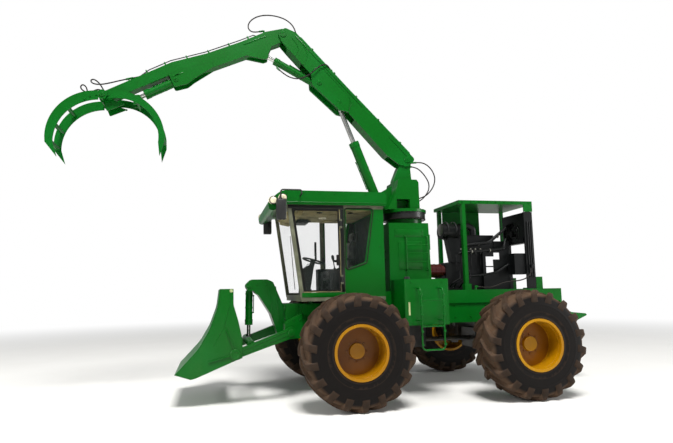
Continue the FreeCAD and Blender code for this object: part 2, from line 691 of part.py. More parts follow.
def blade():
    """Curved push blade: two side plates, a mouldboard and ribs on its back."""
    profile = [(1997, 1825), (1788, 1825), (1788, 1571), (1715, 1325), (1650, 1030),
               (1650, 740), (1765, 700), (2360, 462), (2423, 447), (2685, 524),
               (2330, 893), (2160, 1186), (2037, 1524)]
    inner = ARM_IN + ARM_T + SEAT_GAP
    side = plate(profile, inner, inner + BLADE_PLATE_T)
    board = [(1997, 1825), (1965, 1825), (2005, 1530), (2130, 1180), (2300, 880), (2645, 520),
             (2423, 447), (2440, 440), (2685, 524), (2330, 893), (2160, 1186), (2037, 1524)]
    wall = plate(board, -inner, inner)
    floor = plate([(2423, 447), (2645, 520), (2300, 560), (1765, 740), (1765, 700), (2360, 462)],
                  -ARM_IN + 5, ARM_IN - 5)
    back = plate([(1788, 1825), (1788, 1571), (1810, 1571), (1810, 1825)], -inner, inner)
    top = plate([(1788, 1825), (1788, 1805), (1997, 1805), (1997, 1825)], -inner, inner)
    return join([wall, floor, back, top] + both(side))


# ================================================================ tower and boom
def slew_ring():
    parts = [upright(SLEW_X, 0, SLEW_BOTTOM, SLEW_TOP, SLEW_R)]
    solid = join(parts)
    return solid.cut(upright(SLEW_X, 0, SLEW_TOP - 80, SLEW_TOP, SPIGOT_R + RUNNING))


def tower():
    base = SLEW_TOP + SEAT_GAP
    deck = base + TURNTABLE_T
    table = upright(SLEW_X, 0, base, deck, TURNTABLE_R)
    spigot = upright(SLEW_X, 0, SLEW_TOP - 78, base, SPIGOT_R)
    lower = plate([(-1020, deck), (-1150, 3480), (-1215, 3650), (-1240, 3790), (-1600, 3790),
                   (-1635, 3740), (-1640, deck)], -300, 300)
    neck = plate([(-1215, 3650), (-1240, 3830), (-1337, 4060), (-1420, 4215), (-1600, 4215),
                  (-1571, 4030), (-1600, 3650)], -HEAD_HALF, HEAD_HALF)
    head = cross_bar(BOOM_PIN, -HEAD_HALF, HEAD_HALF, 108)
    lug = [(-1140, deck), (-860, 3330, 30), (-845, 3440, 40), (-880, 3530, 60), (-1180, 3700)]
    eye_half = LIFT_BARREL_R
    ears = pair(lug, eye_half + SIDE_GAP, eye_half + SIDE_GAP + 30)
    ports = [fitting(TOWER_HOSE_UPPER, "end", 160), fitting(TOWER_HOSE_LOWER, "end", 160)]
    solid = join([table, spigot, lower, neck, head] + ears + ports)
    for side in (1, -1):
        y0, y1 = sorted((side * 120, side * 300))
        solid = solid.cut(block(-1453, -1193, y0, y1, 3250, 3420))
    solid = solid.fuse(cross_bar(LIFT_BASE, -eye_half - 30, eye_half + 30, 35)).removeSplitter()
    return solid.cut(cross_bar(BOOM_PIN, -HEAD_HALF, HEAD_HALF, PIN_R + RUNNING))


def boom():
    cheek = BOOM_HALF - CHEEK_T
    tip = BOOM_LENGTH
    shape = [(-112, 119, 60), (95, 118), (1802, 151), (tip - 485, 189), (tip - 148, 208, 60),
             (tip + 60, 120, 60), (tip + 75, -60, 60), (tip - 85, -120), (tip - 261, -135),
             (tip - 892, -165), (1420, -180),
             (352, -235, 60), (46, -190, 60), (-100, -100, 60)]
    body = plate([on_boom(p) for p in shape], -BOOM_HALF, BOOM_HALF)
    doubler = [(1420, -180), (1560, -275, 40), (2250, -305, 60), (2420, -150), (2330, 60, 80),
               (1600, 40, 80)]
    parts = [body] + pair([on_boom(p) for p in doubler], cheek, BOOM_HALF + 20)
    solid = join(parts)
    root_slot = plate([on_boom(p) for p in ((-300, 300), (235, 300), (330, -400), (-300, -400))],
                      -cheek, cheek)
    tip_slot = plate([on_boom(p) for p in ((tip - 205, 400), (tip + 315, 400), (tip + 315, -400),
                                           (tip - 265, -400))],
                     -cheek, cheek)
    pocket = plate([on_boom(p) for p in ((1240, -500), (1240, 10), (1900, 10), (2640, -60),
                                         (2780, -500))],
                   -cheek, cheek)
    solid = solid.cut(root_slot).cut(tip_slot).cut(pocket)
    pins = [cross_bar(BOOM_PIN, -BOOM_HALF - 12, BOOM_HALF + 12, PIN_R),
            cross_bar(ELBOW, -BOOM_HALF - 12, BOOM_HALF + 12, PIN_R),
            cross_bar(on_boom(REACH_BASE), -BOOM_HALF - 32, BOOM_HALF + 32, 30)]
    ports = [fitting(ELBOW_HOSE, "start", 110), fitting(TOWER_HOSE_UPPER, "start", 150),
             fitting(TOWER_HOSE_LOWER, "start", 150), fitting(REACH_HOSE, "start"),
             bar(at(on_boom((tip - 1085, 150)), 80), at(on_boom((tip - 1085, 208)), 80), 25)]
    return join([solid] + pins + ports)


def lift_barrel():
    return cylinder_barrel(LIFT_BASE, on_boom(LIFT_EYE), LIFT_BARREL_R, LIFT_ROD_R,
                           LIFT_BARREL_L, LIFT_BARREL_R, 35)


def lift_rod():
    return cylinder_rod(LIFT_BASE, on_boom(LIFT_EYE), LIFT_ROD_R, LIFT_BARREL_L, 88, 62, 420)


def stick():
    tip = STICK_LENGTH
    shape = [(-92, 103, 60), (273, 161), (776, 136), (1449, 141), (tip - 1305, 200), (tip - 75, 112),
             (tip + 78, 70, 50), (tip + 78, -75, 50), (tip - 86, -68), (tip - 1274, 5),
             (tip - 1402, -130),
             (1434, -135), (796, -135), (508, -170), (411, -165), (277, -125), (105, -125),
             (-60, -90, 50)]
    body = plate([on_stick(p) for p in shape], -STICK_HALF, STICK_HALF)
    horn = [(277, -120), (400, -235), (440, -310, 30), (520, -310, 30), (796, -133), (500, -90)]
    bracket = [(1434, -130), (tip - 1542, -215), (tip - 1400, -260, 40), (tip - 1167, -235, 40),
               (tip - 1167, 20), (1434, -40)]
    horns = pair([on_stick(p) for p in horn], 60, STICK_HALF)
    brackets = pair([on_stick(p) for p in bracket], 81, STICK_HALF + 10)
    solid = join([body] + horns + brackets)
    head = cross_bar(JAW_PIN, -STICK_HALF, STICK_HALF, 80)
    pin = cross_bar(JAW_PIN, -FRONT_JAW_HALF - 15, FRONT_JAW_HALF + 15, JAW_PIN_R)
    base_pin = cross_bar(on_stick(GRAB_BASE), -STICK_HALF - 20, STICK_HALF + 20, 26)
    pocket = plate([on_stick(p) for p in ((330, -150), (620, -180), (700, -420), (300, -420))],
                   -60, 60)
    post = bar(at(on_stick((330, 100))), vec(*by_elbow((1180, 0, 6609))), 16)
    clip = bar(vec(*by_jaws((3545, 60, 5488))), vec(*by_jaws((3525, 60, 5400))), 10)
    low = by_jaws((3890, 25, 5150))
    block_top = block(low[0], low[0] + 100, low[1], 90, low[2], low[2] + 50)
    ports = [fitting(ELBOW_HOSE, "end", 90), fitting(GRAB_HOSE_INNER, "start", 130),
             fitting(GRAB_HOSE_INNER, "end", 60), fitting(GRAB_HOSE_OUTER, "start", 60), post,
             clip, block_top]
    solid = join([solid.cut(pocket), head, pin, base_pin] + ports)
    root = cross_bar(ELBOW, -STICK_HALF, STICK_HALF, PIN_R + RUNNING)
    return solid.cut(root)


def reach_barrel():
    barrel = cylinder_barrel(on_boom(REACH_BASE), on_stick(REACH_EYE), REACH_BARREL_R,
                             REACH_ROD_R, REACH_BARREL_L, 60, 30)
    return join([barrel, fitting(REACH_HOSE, "end"),
                 bar(vec(*by_elbow((942, 20, 5892))), vec(*by_elbow((930, 5, 5950))), FITTING_R)])


def reach_rod():
    return cylinder_rod(on_boom(REACH_BASE), on_stick(REACH_EYE), REACH_ROD_R,
                        REACH_BARREL_L, 52, 45, 520)


def jaw_front():
    rim_plate = [((60, 60), (560, -115), (867, -760)), ((867, -760), (861, -850)),
                 ((861, -850), (675, -1095)), ((675, -1095), (744, -853)),
                 ((744, -853), (520, -300), (60, -95)), ((60, -95), (60, 60))]
    placed = [[on_jaw(p) for p in run] for run in rim_plate]
    sides = [curve_plate(placed, FRONT_JAW_HALF - JAW_T, FRONT_JAW_HALF),
             curve_plate(placed, -FRONT_JAW_HALF, -FRONT_JAW_HALF + JAW_T)]
    hubs = both(cross_bar(JAW_PIN, FRONT_JAW_HALF - JAW_T - 4, FRONT_JAW_HALF + 4, JAW_HUB_R + 15))
    ties = []
    for x, z in ((545, -230), (730, -540), (790, -830)):
        ties.append(cross_bar(on_jaw((x, z)), -FRONT_JAW_HALF + 5, FRONT_JAW_HALF - 5, 35))
    low = by_jaws((4150, 165, 5060))
    port = [fitting(GRAB_HOSE_OUTER, "end", 60),
            block(low[0], low[0] + 50, low[1], FRONT_JAW_HALF - 5, low[2], low[2] + 25)]
    solid = join(sides + hubs + ties + port)
    return solid.cut(cross_bar(JAW_PIN, -300, 300, JAW_PIN_R + RUNNING))


def jaw_rear():
    side = [((-30, 70), (-550, 20), (-1005, -600)), ((-1005, -600), (-1010, -770)),
            ((-1010, -770), (-930, -1015)), ((-930, -1015), (-905, -780)),
            ((-905, -780), (-620, -150), (-30, -80)), ((-30, -80), (-30, 70))]
    placed = [[on_jaw(p) for p in run] for run in side]
    sides = [curve_plate(placed, REAR_JAW_HALF - JAW_T, REAR_JAW_HALF),
             curve_plate(placed, -REAR_JAW_HALF, -REAR_JAW_HALF + JAW_T)]
    hubs = both(cross_bar(JAW_PIN, STICK_HALF + SIDE_GAP, REAR_JAW_HALF, JAW_HUB_R))
    heel = pair([on_jaw(p) for p in ((20, -50), (-56, -245, 20), (-345, -110), (-148, -50))],
                STICK_HALF + SIDE_GAP + 20, STICK_HALF + SIDE_GAP + 40)
    ties = []
    for x, z in ((-560, -60), (-860, -330), (-975, -700)):
        ties.append(cross_bar(on_jaw((x, z)), -REAR_JAW_HALF + 5, REAR_JAW_HALF - 5, 35))
    lug = [on_jaw(p) for p in ((-470, -80), (-490, 80, 30), (-580, 95, 30), (-650, -80))]
    ears = pair(lug, 60 + SIDE_GAP, 90)
    solid = join(sides + hubs + heel + ties + ears)
    return solid.cut(cross_bar(JAW_PIN, -300, 300, JAW_PIN_R + RUNNING))


def grab_barrel():
    return cylinder_barrel(on_stick(GRAB_BASE), on_jaw(GRAB_EYE), GRAB_BARREL_R, GRAB_ROD_R,
                           GRAB_BARREL_L, 76, 26)


def grab_rod():
    return cylinder_rod(on_stick(GRAB_BASE), on_jaw(GRAB_EYE), GRAB_ROD_R, GRAB_BARREL_L, 60, 42, 300)


def blade_barrel():
    return cylinder_barrel(BLADE_CYL_TOP, CROSS_TUBE, BLADE_BARREL_R, BLADE_ROD_R,
                           BLADE_BARREL_L, BLADE_BARREL_R + 14, 28)


def blade_rod():
    axis = toward(BLADE_CYL_TOP, CROSS_TUBE)
    foot = at(CROSS_TUBE) - axis * (CROSS_TUBE_R + 45)
    inner = at(BLADE_CYL_TOP) + axis * (BLADE_BARREL_L - 250)
    return join([bar(inner, foot, BLADE_ROD_R),
                 bar(foot - axis * 10, foot + axis * 30, BLADE_ROD_R + 14)])


# ================================================================ cab
def screen_x(z, inset=0.0):
    """Front edge of the leaning A pillar at height z."""
    share = (z - CAB_FLOOR) / (CAB_TOP - CAB_FLOOR)
    return SCREEN_FOOT + share * (SCREEN_HEAD - SCREEN_FOOT) - inset


def cab_floor():
    return block(CAB_REAR, SCREEN_FOOT, -CAB_HALF, CAB_HALF, CAB_FLOOR, CAB_FLOOR + FLOOR_T)


def cab_frame():
    """Posts, rails and sills round the windows, with the fixed halves of the door's hinges."""
    floor = CAB_FLOOR + FLOOR_T
    inner = CAB_HALF - PILLAR
    a_post = [(screen_x(floor, PILLAR), floor), (screen_x(floor), floor),
              (screen_x(CAB_TOP), CAB_TOP), (screen_x(CAB_TOP, PILLAR), CAB_TOP)]
    parts = pair(a_post, inner, CAB_HALF)
    parts += pair([(B_REAR, floor), (B_FRONT, floor), (B_FRONT, CAB_TOP), (B_REAR, CAB_TOP)],
                  inner, CAB_HALF)
    rail = [(CAB_REAR, CAB_TOP - PILLAR), (screen_x(CAB_TOP - PILLAR), CAB_TOP - PILLAR),
            (screen_x(CAB_TOP), CAB_TOP), (CAB_REAR, CAB_TOP)]
    parts += pair(rail, inner, CAB_HALF)
    header = [(screen_x(CAB_TOP - PILLAR, PILLAR), CAB_TOP - PILLAR),
              (screen_x(CAB_TOP - PILLAR), CAB_TOP - PILLAR),
              (screen_x(CAB_TOP), CAB_TOP), (screen_x(CAB_TOP, PILLAR), CAB_TOP)]
    parts.append(plate(header, -CAB_HALF, CAB_HALF))
    sill = [(screen_x(floor, PILLAR), floor), (screen_x(floor), floor),
            (screen_x(floor + 40), floor + 40), (screen_x(floor + 40, PILLAR), floor + 40)]
    parts.append(plate(sill, -CAB_HALF, CAB_HALF))
    step = [(B_FRONT, floor), (screen_x(floor, PILLAR), floor),
            (screen_x(DOOR_BOTTOM - SIDE_GAP, PILLAR), DOOR_BOTTOM - SIDE_GAP),
            (B_FRONT, DOOR_BOTTOM - SIDE_GAP)]
    parts += pair(step, CAB_HALF - PANEL_T, CAB_HALF)
    y = CAB_HALF + HINGE_R
    for z in HINGE_Z:
        for low, high in ((z - HINGE_H / 2 - 30, z - HINGE_H / 2 - SEAT_GAP),
                          (z + HINGE_H / 2 + SEAT_GAP, z + HINGE_H / 2 + 30)):
            parts.append(upright(B_FRONT, y, low, high, HINGE_R))
            parts.append(block(B_FRONT - 30, B_FRONT, CAB_HALF - 5, CAB_HALF + 8, low, high))
        parts.append(upright(B_FRONT, y, z - HINGE_H / 2 - 10, z + HINGE_H / 2 + 10, HINGE_PIN_R))
    return join(parts)


def cab_shell():
    """Side panels behind the door, with their windows, and the wall behind the seat."""
    floor = CAB_FLOOR + FLOOR_T
    inner = CAB_HALF - PANEL_T
    window = [(-80, 3120), (-545, 3120, 30), (-400, 2240, 30), (-80, 2120)]
    panel = plate([(CAB_REAR, floor), (B_REAR, floor), (B_REAR, CAB_TOP), (CAB_REAR, CAB_TOP)],
                  inner, CAB_HALF)
    panel = panel.cut(plate(window, inner, CAB_HALF))
    wall = block(CAB_REAR, CAB_REAR + PANEL_T, -CAB_HALF, CAB_HALF, floor, CAB_TOP)
    return join([wall] + both(panel)).cut(cab_frame())


def door_outline(inset):
    low, high = DOOR_BOTTOM + inset, CAB_TOP - PILLAR - SIDE_GAP - inset
    return [(B_FRONT + SIDE_GAP + inset, low), (screen_x(low, PILLAR + SIDE_GAP + inset), low),
            (screen_x(high, PILLAR + SIDE_GAP + inset), high),
            (B_FRONT + SIDE_GAP + inset, high)]


def cab_door():
    outer, inner = CAB_HALF, CAB_HALF - DOOR_T
    panel = plate(door_outline(0), inner, outer).cut(plate(door_outline(DOOR_FRAME), inner, outer))
    parts = [panel]
    for z in HINGE_Z:
        y = CAB_HALF + HINGE_R
        parts.append(upright(B_FRONT, y, z - HINGE_H / 2, z + HINGE_H / 2, HINGE_R))
        parts.append(block(B_FRONT + SIDE_GAP, B_FRONT + SIDE_GAP + DOOR_FRAME, CAB_HALF - 2, CAB_HALF + 10,
                           z - HINGE_H / 2, z + HINGE_H / 2))
    solid = join(parts)
    for z in HINGE_Z:
        solid = solid.cut(upright(B_FRONT, CAB_HALF + HINGE_R, z - HINGE_H, z + HINGE_H,
                                  HINGE_PIN_R + RUNNING))
    return solid


def door_glass():
    inner = CAB_HALF - DOOR_T
    return plate(door_outline(DOOR_FRAME - 12), inner - GLASS_T, inner)


def cab_glass():
    floor = CAB_FLOOR + FLOOR_T + 40
    head = CAB_TOP - PILLAR
    screen = plate([(screen_x(floor, PILLAR + GLASS_T), floor - 20), (screen_x(floor, PILLAR), floor - 20),
                    (screen_x(head, PILLAR), head + 20), (screen_x(head, PILLAR + GLASS_T), head + 20)],
                   -CAB_HALF + PILLAR - 20, CAB_HALF - PILLAR + 20)
    window = [(-60, 3140), (-570, 3140, 30), (-425, 2220, 30), (-60, 2095)]
    inner = CAB_HALF - PANEL_T
    quarter = plate(window, inner - GLASS_T, inner)
    right = plate(door_outline(-SIDE_GAP), -CAB_HALF + DOOR_T, -CAB_HALF + DOOR_T + GLASS_T)
    walls = join([cab_shell(), cab_frame()])
    return group([pane.cut(walls) for pane in [screen, right] + both(quarter)])


def cab_roof():
    shape = [(ROOF_REAR, CAB_TOP), (ROOF_REAR, ROOF_TOP, 70), (1010, ROOF_TOP, 260),
             (ROOF_NOSE, 3230, 90), (ROOF_NOSE - 20, 3095, 40), (1150, 3080, 30),
             (SCREEN_HEAD + 40, CAB_TOP, 30)]
    return plate(shape, -ROOF_HALF, ROOF_HALF)


def operator_seat():
    floor = CAB_FLOOR + FLOOR_T
    foot = block(-330, 60, -200, 200, floor, floor + 330)
    cushion = block(-380, 130, -260, 260, floor + 330, floor + 450)
    back = plate([(-400, floor + 430), (-270, floor + 430), (-350, floor + 1130), (-460, floor + 1130)],
                 -250, 250)
    return join([foot, cushion, back])


def steering_column():
    floor = CAB_FLOOR + FLOOR_T
    foot, head = vec(520, 0, floor), vec(330, 0, floor + 650)
    axis = head.sub(foot).normalize()
    column = bar(foot, head, 45).common(block(0, 800, -100, 100, floor, floor + 1000))
    ring = Part.makeTorus(185, 16, head, axis)
    spokes = [bar(head, head + vec(0, s * 185, 0), 10) for s in (-1, 1)]
    cowl = plate([(430, floor), (590, floor), (560, floor + 480, 60), (400, floor + 590, 60),
                  (345, floor + 520, 40)], -COWL_HALF, COWL_HALF)
    console = block(-330, 150, -620, -420, floor, floor + 520)
    heater = block(500, 620, 540, 660, floor, floor + 140)
    return group([join([column, ring, cowl] + spokes), console, heater])


def mirrors():
    """Mirrors that hang from arms on the roof's sides."""
    return group(both(join([block(*MIRROR), tube(MIRROR_ARM, 12, [30, 30, 40])])))


def roof_lamps():
    """Round lamps on the roof's sides, turned a little forward."""
    lamps = []
    for x, z in LAMP_PLACES:
        lamps.append(bar(vec(x, ROOF_HALF - 30, z), vec(x + 20, ROOF_HALF + 45, z), LAMP_R))
    roof = cab_roof()
    return group([lamp.cut(roof) for one in lamps for lamp in both(one)])


# ================================================================ pedestal and tanks
def pedestal():
    taper = 15
    column = Part.makeLoft([
        Part.makePolygon([vec(PEDESTAL_REAR, -PEDESTAL_HALF, FRAME_TOP),
                          vec(PEDESTAL_FRONT, -PEDESTAL_HALF, FRAME_TOP),
                          vec(PEDESTAL_FRONT, PEDESTAL_HALF, FRAME_TOP),
                          vec(PEDESTAL_REAR, PEDESTAL_HALF, FRAME_TOP),
                          vec(PEDESTAL_REAR, -PEDESTAL_HALF, FRAME_TOP)]),
        Part.makePolygon([vec(PEDESTAL_REAR + taper, -PEDESTAL_HALF + taper, PEDESTAL_TOP),
                          vec(PEDESTAL_FRONT - taper, -PEDESTAL_HALF + taper, PEDESTAL_TOP),
                          vec(PEDESTAL_FRONT - taper, PEDESTAL_HALF - taper, PEDESTAL_TOP),
                          vec(PEDESTAL_REAR + taper, PEDESTAL_HALF - taper, PEDESTAL_TOP),
                          vec(PEDESTAL_REAR + taper, -PEDESTAL_HALF + taper, PEDESTAL_TOP)])],
        True, True)
    parts = [column, upright(SLEW_X, 0, PEDESTAL_TOP, SLEW_BOTTOM, 330)]
    parts.append(block(PEDESTAL_REAR - 75, PEDESTAL_REAR + 60, 120, 340, 2480, 2760))
    rail_y = PEDESTAL_HALF + 60
    for x in (-1640, -1240):
        parts.append(tube([(x, PEDESTAL_HALF - 40, 2700), (x, rail_y, 2700), (x, rail_y, 2100),
                           (x, PEDESTAL_HALF - 40, 2100)], 10, 30))
    for z in (2250, 2400, 2550):
        parts.append(bar(vec(-1640, rail_y, z), vec(-1240, rail_y, z), 9))
    return join(parts)


def side_tanks():
    body = block(TANK_REAR, TANK_FRONT, FRAME_HALF, TANK_OUT, TANK_BOTTOM, TANK_TOP)
    return group(both(body))


def ladder():
    """Ladder of bent tube on the left tank."""
    y = TANK_OUT + LADDER_OUT
    left, right = LADDER_X
    rails = tube([(left, TANK_OUT, LADDER_TOP), (left, y, LADDER_TOP), (left, y, LADDER_FOOT),
                  (right, y, LADDER_FOOT), (right, y, LADDER_TOP), (right, TANK_OUT, LADDER_TOP)],
                 14, 60)
    rungs = [bar(vec(left, y, z), vec(right, y, z), 12) for z in RUNGS]
    stays = [bar(vec(x, TANK_OUT, LADDER_STAY), vec(x, y, LADDER_STAY), 12) for x in LADDER_X]
    return join([rails] + rungs + stays)


# ================================================================ engine bay
def engine():
    """Engine without a hood: its block, head and covers, with the gaps that one sees through."""
    parts = [block(ENGINE_REAR, ENGINE_FRONT, -ENGINE_HALF, ENGINE_HALF, BED_TOP, ENGINE_DECK)]
    for box in (ENGINE_HEAD, ROCKER_COVER, MANIFOLD, GENERATOR, SUMP_NOSE, BELL_HOUSING, COVER_STAND):
        parts.append(block(*box))
    x0, x1, z = FAN_SHAFT
    parts.append(bar(vec(x0, 0, z), vec(x1, 0, z), FAN_SHAFT_R))
    for x0, x1, z0, z1 in COVER_PLATES:
        parts.append(block(x0, x1, COVER_IN, COVER_OUT, z0, z1))
    parts.append(block(COVER_POST[0], COVER_POST[1], ENGINE_HALF - 1, COVER_IN + 1, BED_TOP, COVER_TOP))
    x0, x1, z = COVER_STRUT
    parts.append(bar(vec(x0, COVER_OUT - 15, z), vec(x1, COVER_OUT - 15, z), COVER_STRUT_R))
    return join(parts)


def hydraulic_pump():
    y, z = PUMP_AT
    rear, middle, front = PUMP_X
    neck = bar(vec(rear, y, z), vec(middle, y, z), PUMP_NECK_R)
    return join([neck, bar(vec(middle - 1, y, z), vec(front, y, z), PUMP_R)])


def air_cleaner():
    """Drum on its bracket, with the intake pipe that bends down to the engine."""
    y, z = CLEANER_AT
    drum = bar(vec(CLEANER_X[0], y, z), vec(CLEANER_X[1], y, z), CLEANER_R)
    bands = [bar(vec(x, y, z), vec(x - 25, y, z), CLEANER_R + 7) for x in CLEANER_BANDS]
    stand = plate(CLEANER_STAND, y - 80, y + 80)
    deck = block(CLEANER_STAND[0][0] - 5, CLEANER_STAND[1][0] + 5, y - 81, y + 81,
                 ENGINE_DECK, ENGINE_DECK + SEAT_GAP)
    run = [(x, y, height) for x, height in INTAKE_RUN]
    run.append((INTAKE_RUN[-1][0], y, MANIFOLD[5] + SEAT_GAP))
    return join([drum, stand.cut(deck), tube(run, INTAKE_R, [90, 70])] + bands)


def radiator():
    """Radiator core with the fan's mouth, on legs, with the cooler and side panel at its left."""
    core = block(CORE_REAR, CORE_FRONT, CORE_RIGHT, CORE_LEFT, CORE_BOTTOM, CORE_TOP)
    mouth = bar(vec(CORE_FRONT + 1, 0, FAN_Z), vec(CORE_FRONT - FAN_DEPTH, 0, FAN_Z), FAN_R)
    hub = bar(vec(CORE_FRONT - 10, 0, FAN_Z), vec(CORE_FRONT - FAN_DEPTH - 1, 0, FAN_Z), FAN_HUB_R)
    leg = block(CORE_REAR, CORE_REAR + 60, CORE_RIGHT, CORE_RIGHT + 60, BED_TOP, CORE_BOTTOM + 1)
    pan = block(CORE_REAR, SIDE_PANEL[1], CORE_RIGHT, CORE_LEFT - 5, BED_TOP, FRAME_TOP - 10)
    panel = block(SIDE_PANEL[0], SIDE_PANEL[1], SIDE_PANEL_Y[0], SIDE_PANEL_Y[1], FRAME_TOP, CORE_TOP)
    link = block(CORE_REAR, CORE_FRONT, CORE_LEFT - 95, CORE_LEFT, FRAME_TOP - 11, FRAME_TOP + 20)
    stay = block(CORE_FRONT - 55, CORE_FRONT, CORE_LEFT - 20, SIDE_PANEL_Y[0] + 1, CORE_BOTTOM + 100,
                 CORE_TOP - 80)
    elbow = bar(vec(-3706, 549, 2175), vec(-3690, 440, 2200), FITTING_R)
    parts = [core.cut(mouth), hub, leg, pan, panel, link, stay, block(*COOLER)]
    return join(parts + [fitting(ENGINE_HOSE, "end"), elbow])


def canopy():
    """Roof over the engine on its posts."""
    under = CANOPY_TOP - CANOPY_T
    slab = block(CANOPY_REAR, CANOPY_FRONT, -CANOPY_HALF, CANOPY_HALF, under, CANOPY_TOP)
    front = block(POST_X, POST_X + POST, CANOPY_HALF - POST, CANOPY_HALF, FRAME_TOP, under + 1)
    foot = block(POST_X - 40, POST_X + POST + 15, CANOPY_HALF - POST - 15, CANOPY_HALF + 10,
                 FRAME_TOP, POST_FOOT_TOP)
    rear = block(CORE_REAR, CORE_REAR + 55, CORE_LEFT + 5, CORE_LEFT + POST, BED_TOP, under + 1)
    skirt = block(CANOPY_REAR, CANOPY_REAR + 180, CANOPY_HALF - 20, CANOPY_HALF,
                  CANOPY_SKIRT, CANOPY_TOP)
    far_panel = block(FAR_PANEL[0], FAR_PANEL[1], -CANOPY_HALF, -CANOPY_HALF + 20,
                      FAR_PANEL[2], under + 1)
    return join([slab, skirt, far_panel] + both(front) + both(foot) + both(rear))


# ================================================================ drive line
def drive_line():
    """Transfer gearbox under the frame with a shaft to each axle."""
    middle = -WHEELBASE / 2
    box = block(middle - 260, middle + 260, -200, 200, TYRE_R - 140, FRAME_BOTTOM - 20)
    hanger = block(middle - 60, middle + 60, -FRAME_HALF + WEB_INSET + WEB_T,
                   FRAME_HALF - WEB_INSET - WEB_T, FRAME_BOTTOM + 20, FRAME_BOTTOM + 120)
    neck = block(middle - 60, middle + 60, -150, 150, FRAME_BOTTOM - 21, FRAME_BOTTOM + 21)
    front = bar(vec(middle + 259, 0, TYRE_R - 20), vec(-230 - SEAT_GAP, 0, TYRE_R - 20), 42)
    rear = bar(vec(middle - 259, 0, TYRE_R - 20), vec(-WHEELBASE + 230 + SEAT_GAP, 0, TYRE_R - 20), 42)
    return join([box, hanger, neck, front, rear])


# ================================================================ hoses
HOSE_R = 11.0
FITTING_R = 17.0

ELBOW_HOSE = [by_elbow(point) for point in (
    (565, 0, 6575), (590, 0, 6680), (655, 0, 6790), (775, 0, 6875), (940, 0, 6920),
    (1130, 0, 6925), (1300, 0, 6880), (1425, 0, 6790), (1480, 0, 6680), (1450, 0, 6590),
    (1365, 0, 6560), (1265, 0, 6585))]
TOWER_HOSE_UPPER = [(-1690, 112, 4165), (-1800, 112, 4175), (-1930, 105, 4120), (-2030, 90, 4015),
                    (-2080, 78, 3885), (-2055, 70, 3745), (-1970, 65, 3615), (-1860, 60, 3520),
                    (-1730, 60, 3480)]
TOWER_HOSE_LOWER = [(-1690, -112, 4140), (-1785, -112, 4130), (-1890, -105, 4050), (-1975, -90, 3930),
                    (-2025, -78, 3810), (-2010, -70, 3680), (-1930, -65, 3560),
                    (-1830, -60, 3470), (-1730, -60, 3420)]
GRAB_HOSE_INNER = [by_jaws(point) for point in (
    (3590, 60, 5475), (3690, 62, 5445), (3820, 65, 5400), (3950, 70, 5360), (4060, 75, 5345),
    (4140, 85, 5365), (4150, 100, 5410), (4090, 115, 5420), (4020, 108, 5370), (3970, 92, 5300),
    (3935, 78, 5235))]
GRAB_HOSE_OUTER = [by_jaws(point) for point in (
    (3960, 45, 5235), (4015, 50, 5275), (4080, 65, 5250), (4135, 85, 5200), (4200, 110, 5180),
    (4270, 130, 5205), (4300, 150, 5255), (4260, 168, 5295), (4205, 178, 5260), (4180, 180, 5195),
    (4172, 180, 5130))]
REACH_HOSE = [by_elbow(point) for point in (
    (-40, 100, 5916), (21, 150, 5982), (140, 180, 5935), (235, 200, 5850), (330, 195, 5760),
    (440, 170, 5690), (560, 140, 5655), (690, 105, 5680), (810, 70, 5755), (900, 35, 5850))]
ENGINE_HOSE = [(-2590, 545, 1790), (-2700, 570, 1778), (-2830, 585, 1774), (-2950, 585, 1810),
               (-3080, 580, 1860), (-3250, 575, 1880), (-3420, 570, 1892), (-3570, 565, 1935),
               (-3670, 560, 2020), (-3700, 552, 2130)]


def hose(route, name):
    return cord(route, HOSE_R, name)


def fitting(route, end, length=60.0):
    """Steel fitting that a hose's end meets: a short bar in line with its last run."""
    first, second = (route[0], route[1]) if end == "start" else (route[-1], route[-2])
    tip = vec(*first)
    away = tip.sub(vec(*second)).normalize()
    return bar(tip, tip + away * length, FITTING_R)


# ================================================================ assembly
def save(name, shape):
    shape.exportStep("parts/%s.step" % name)


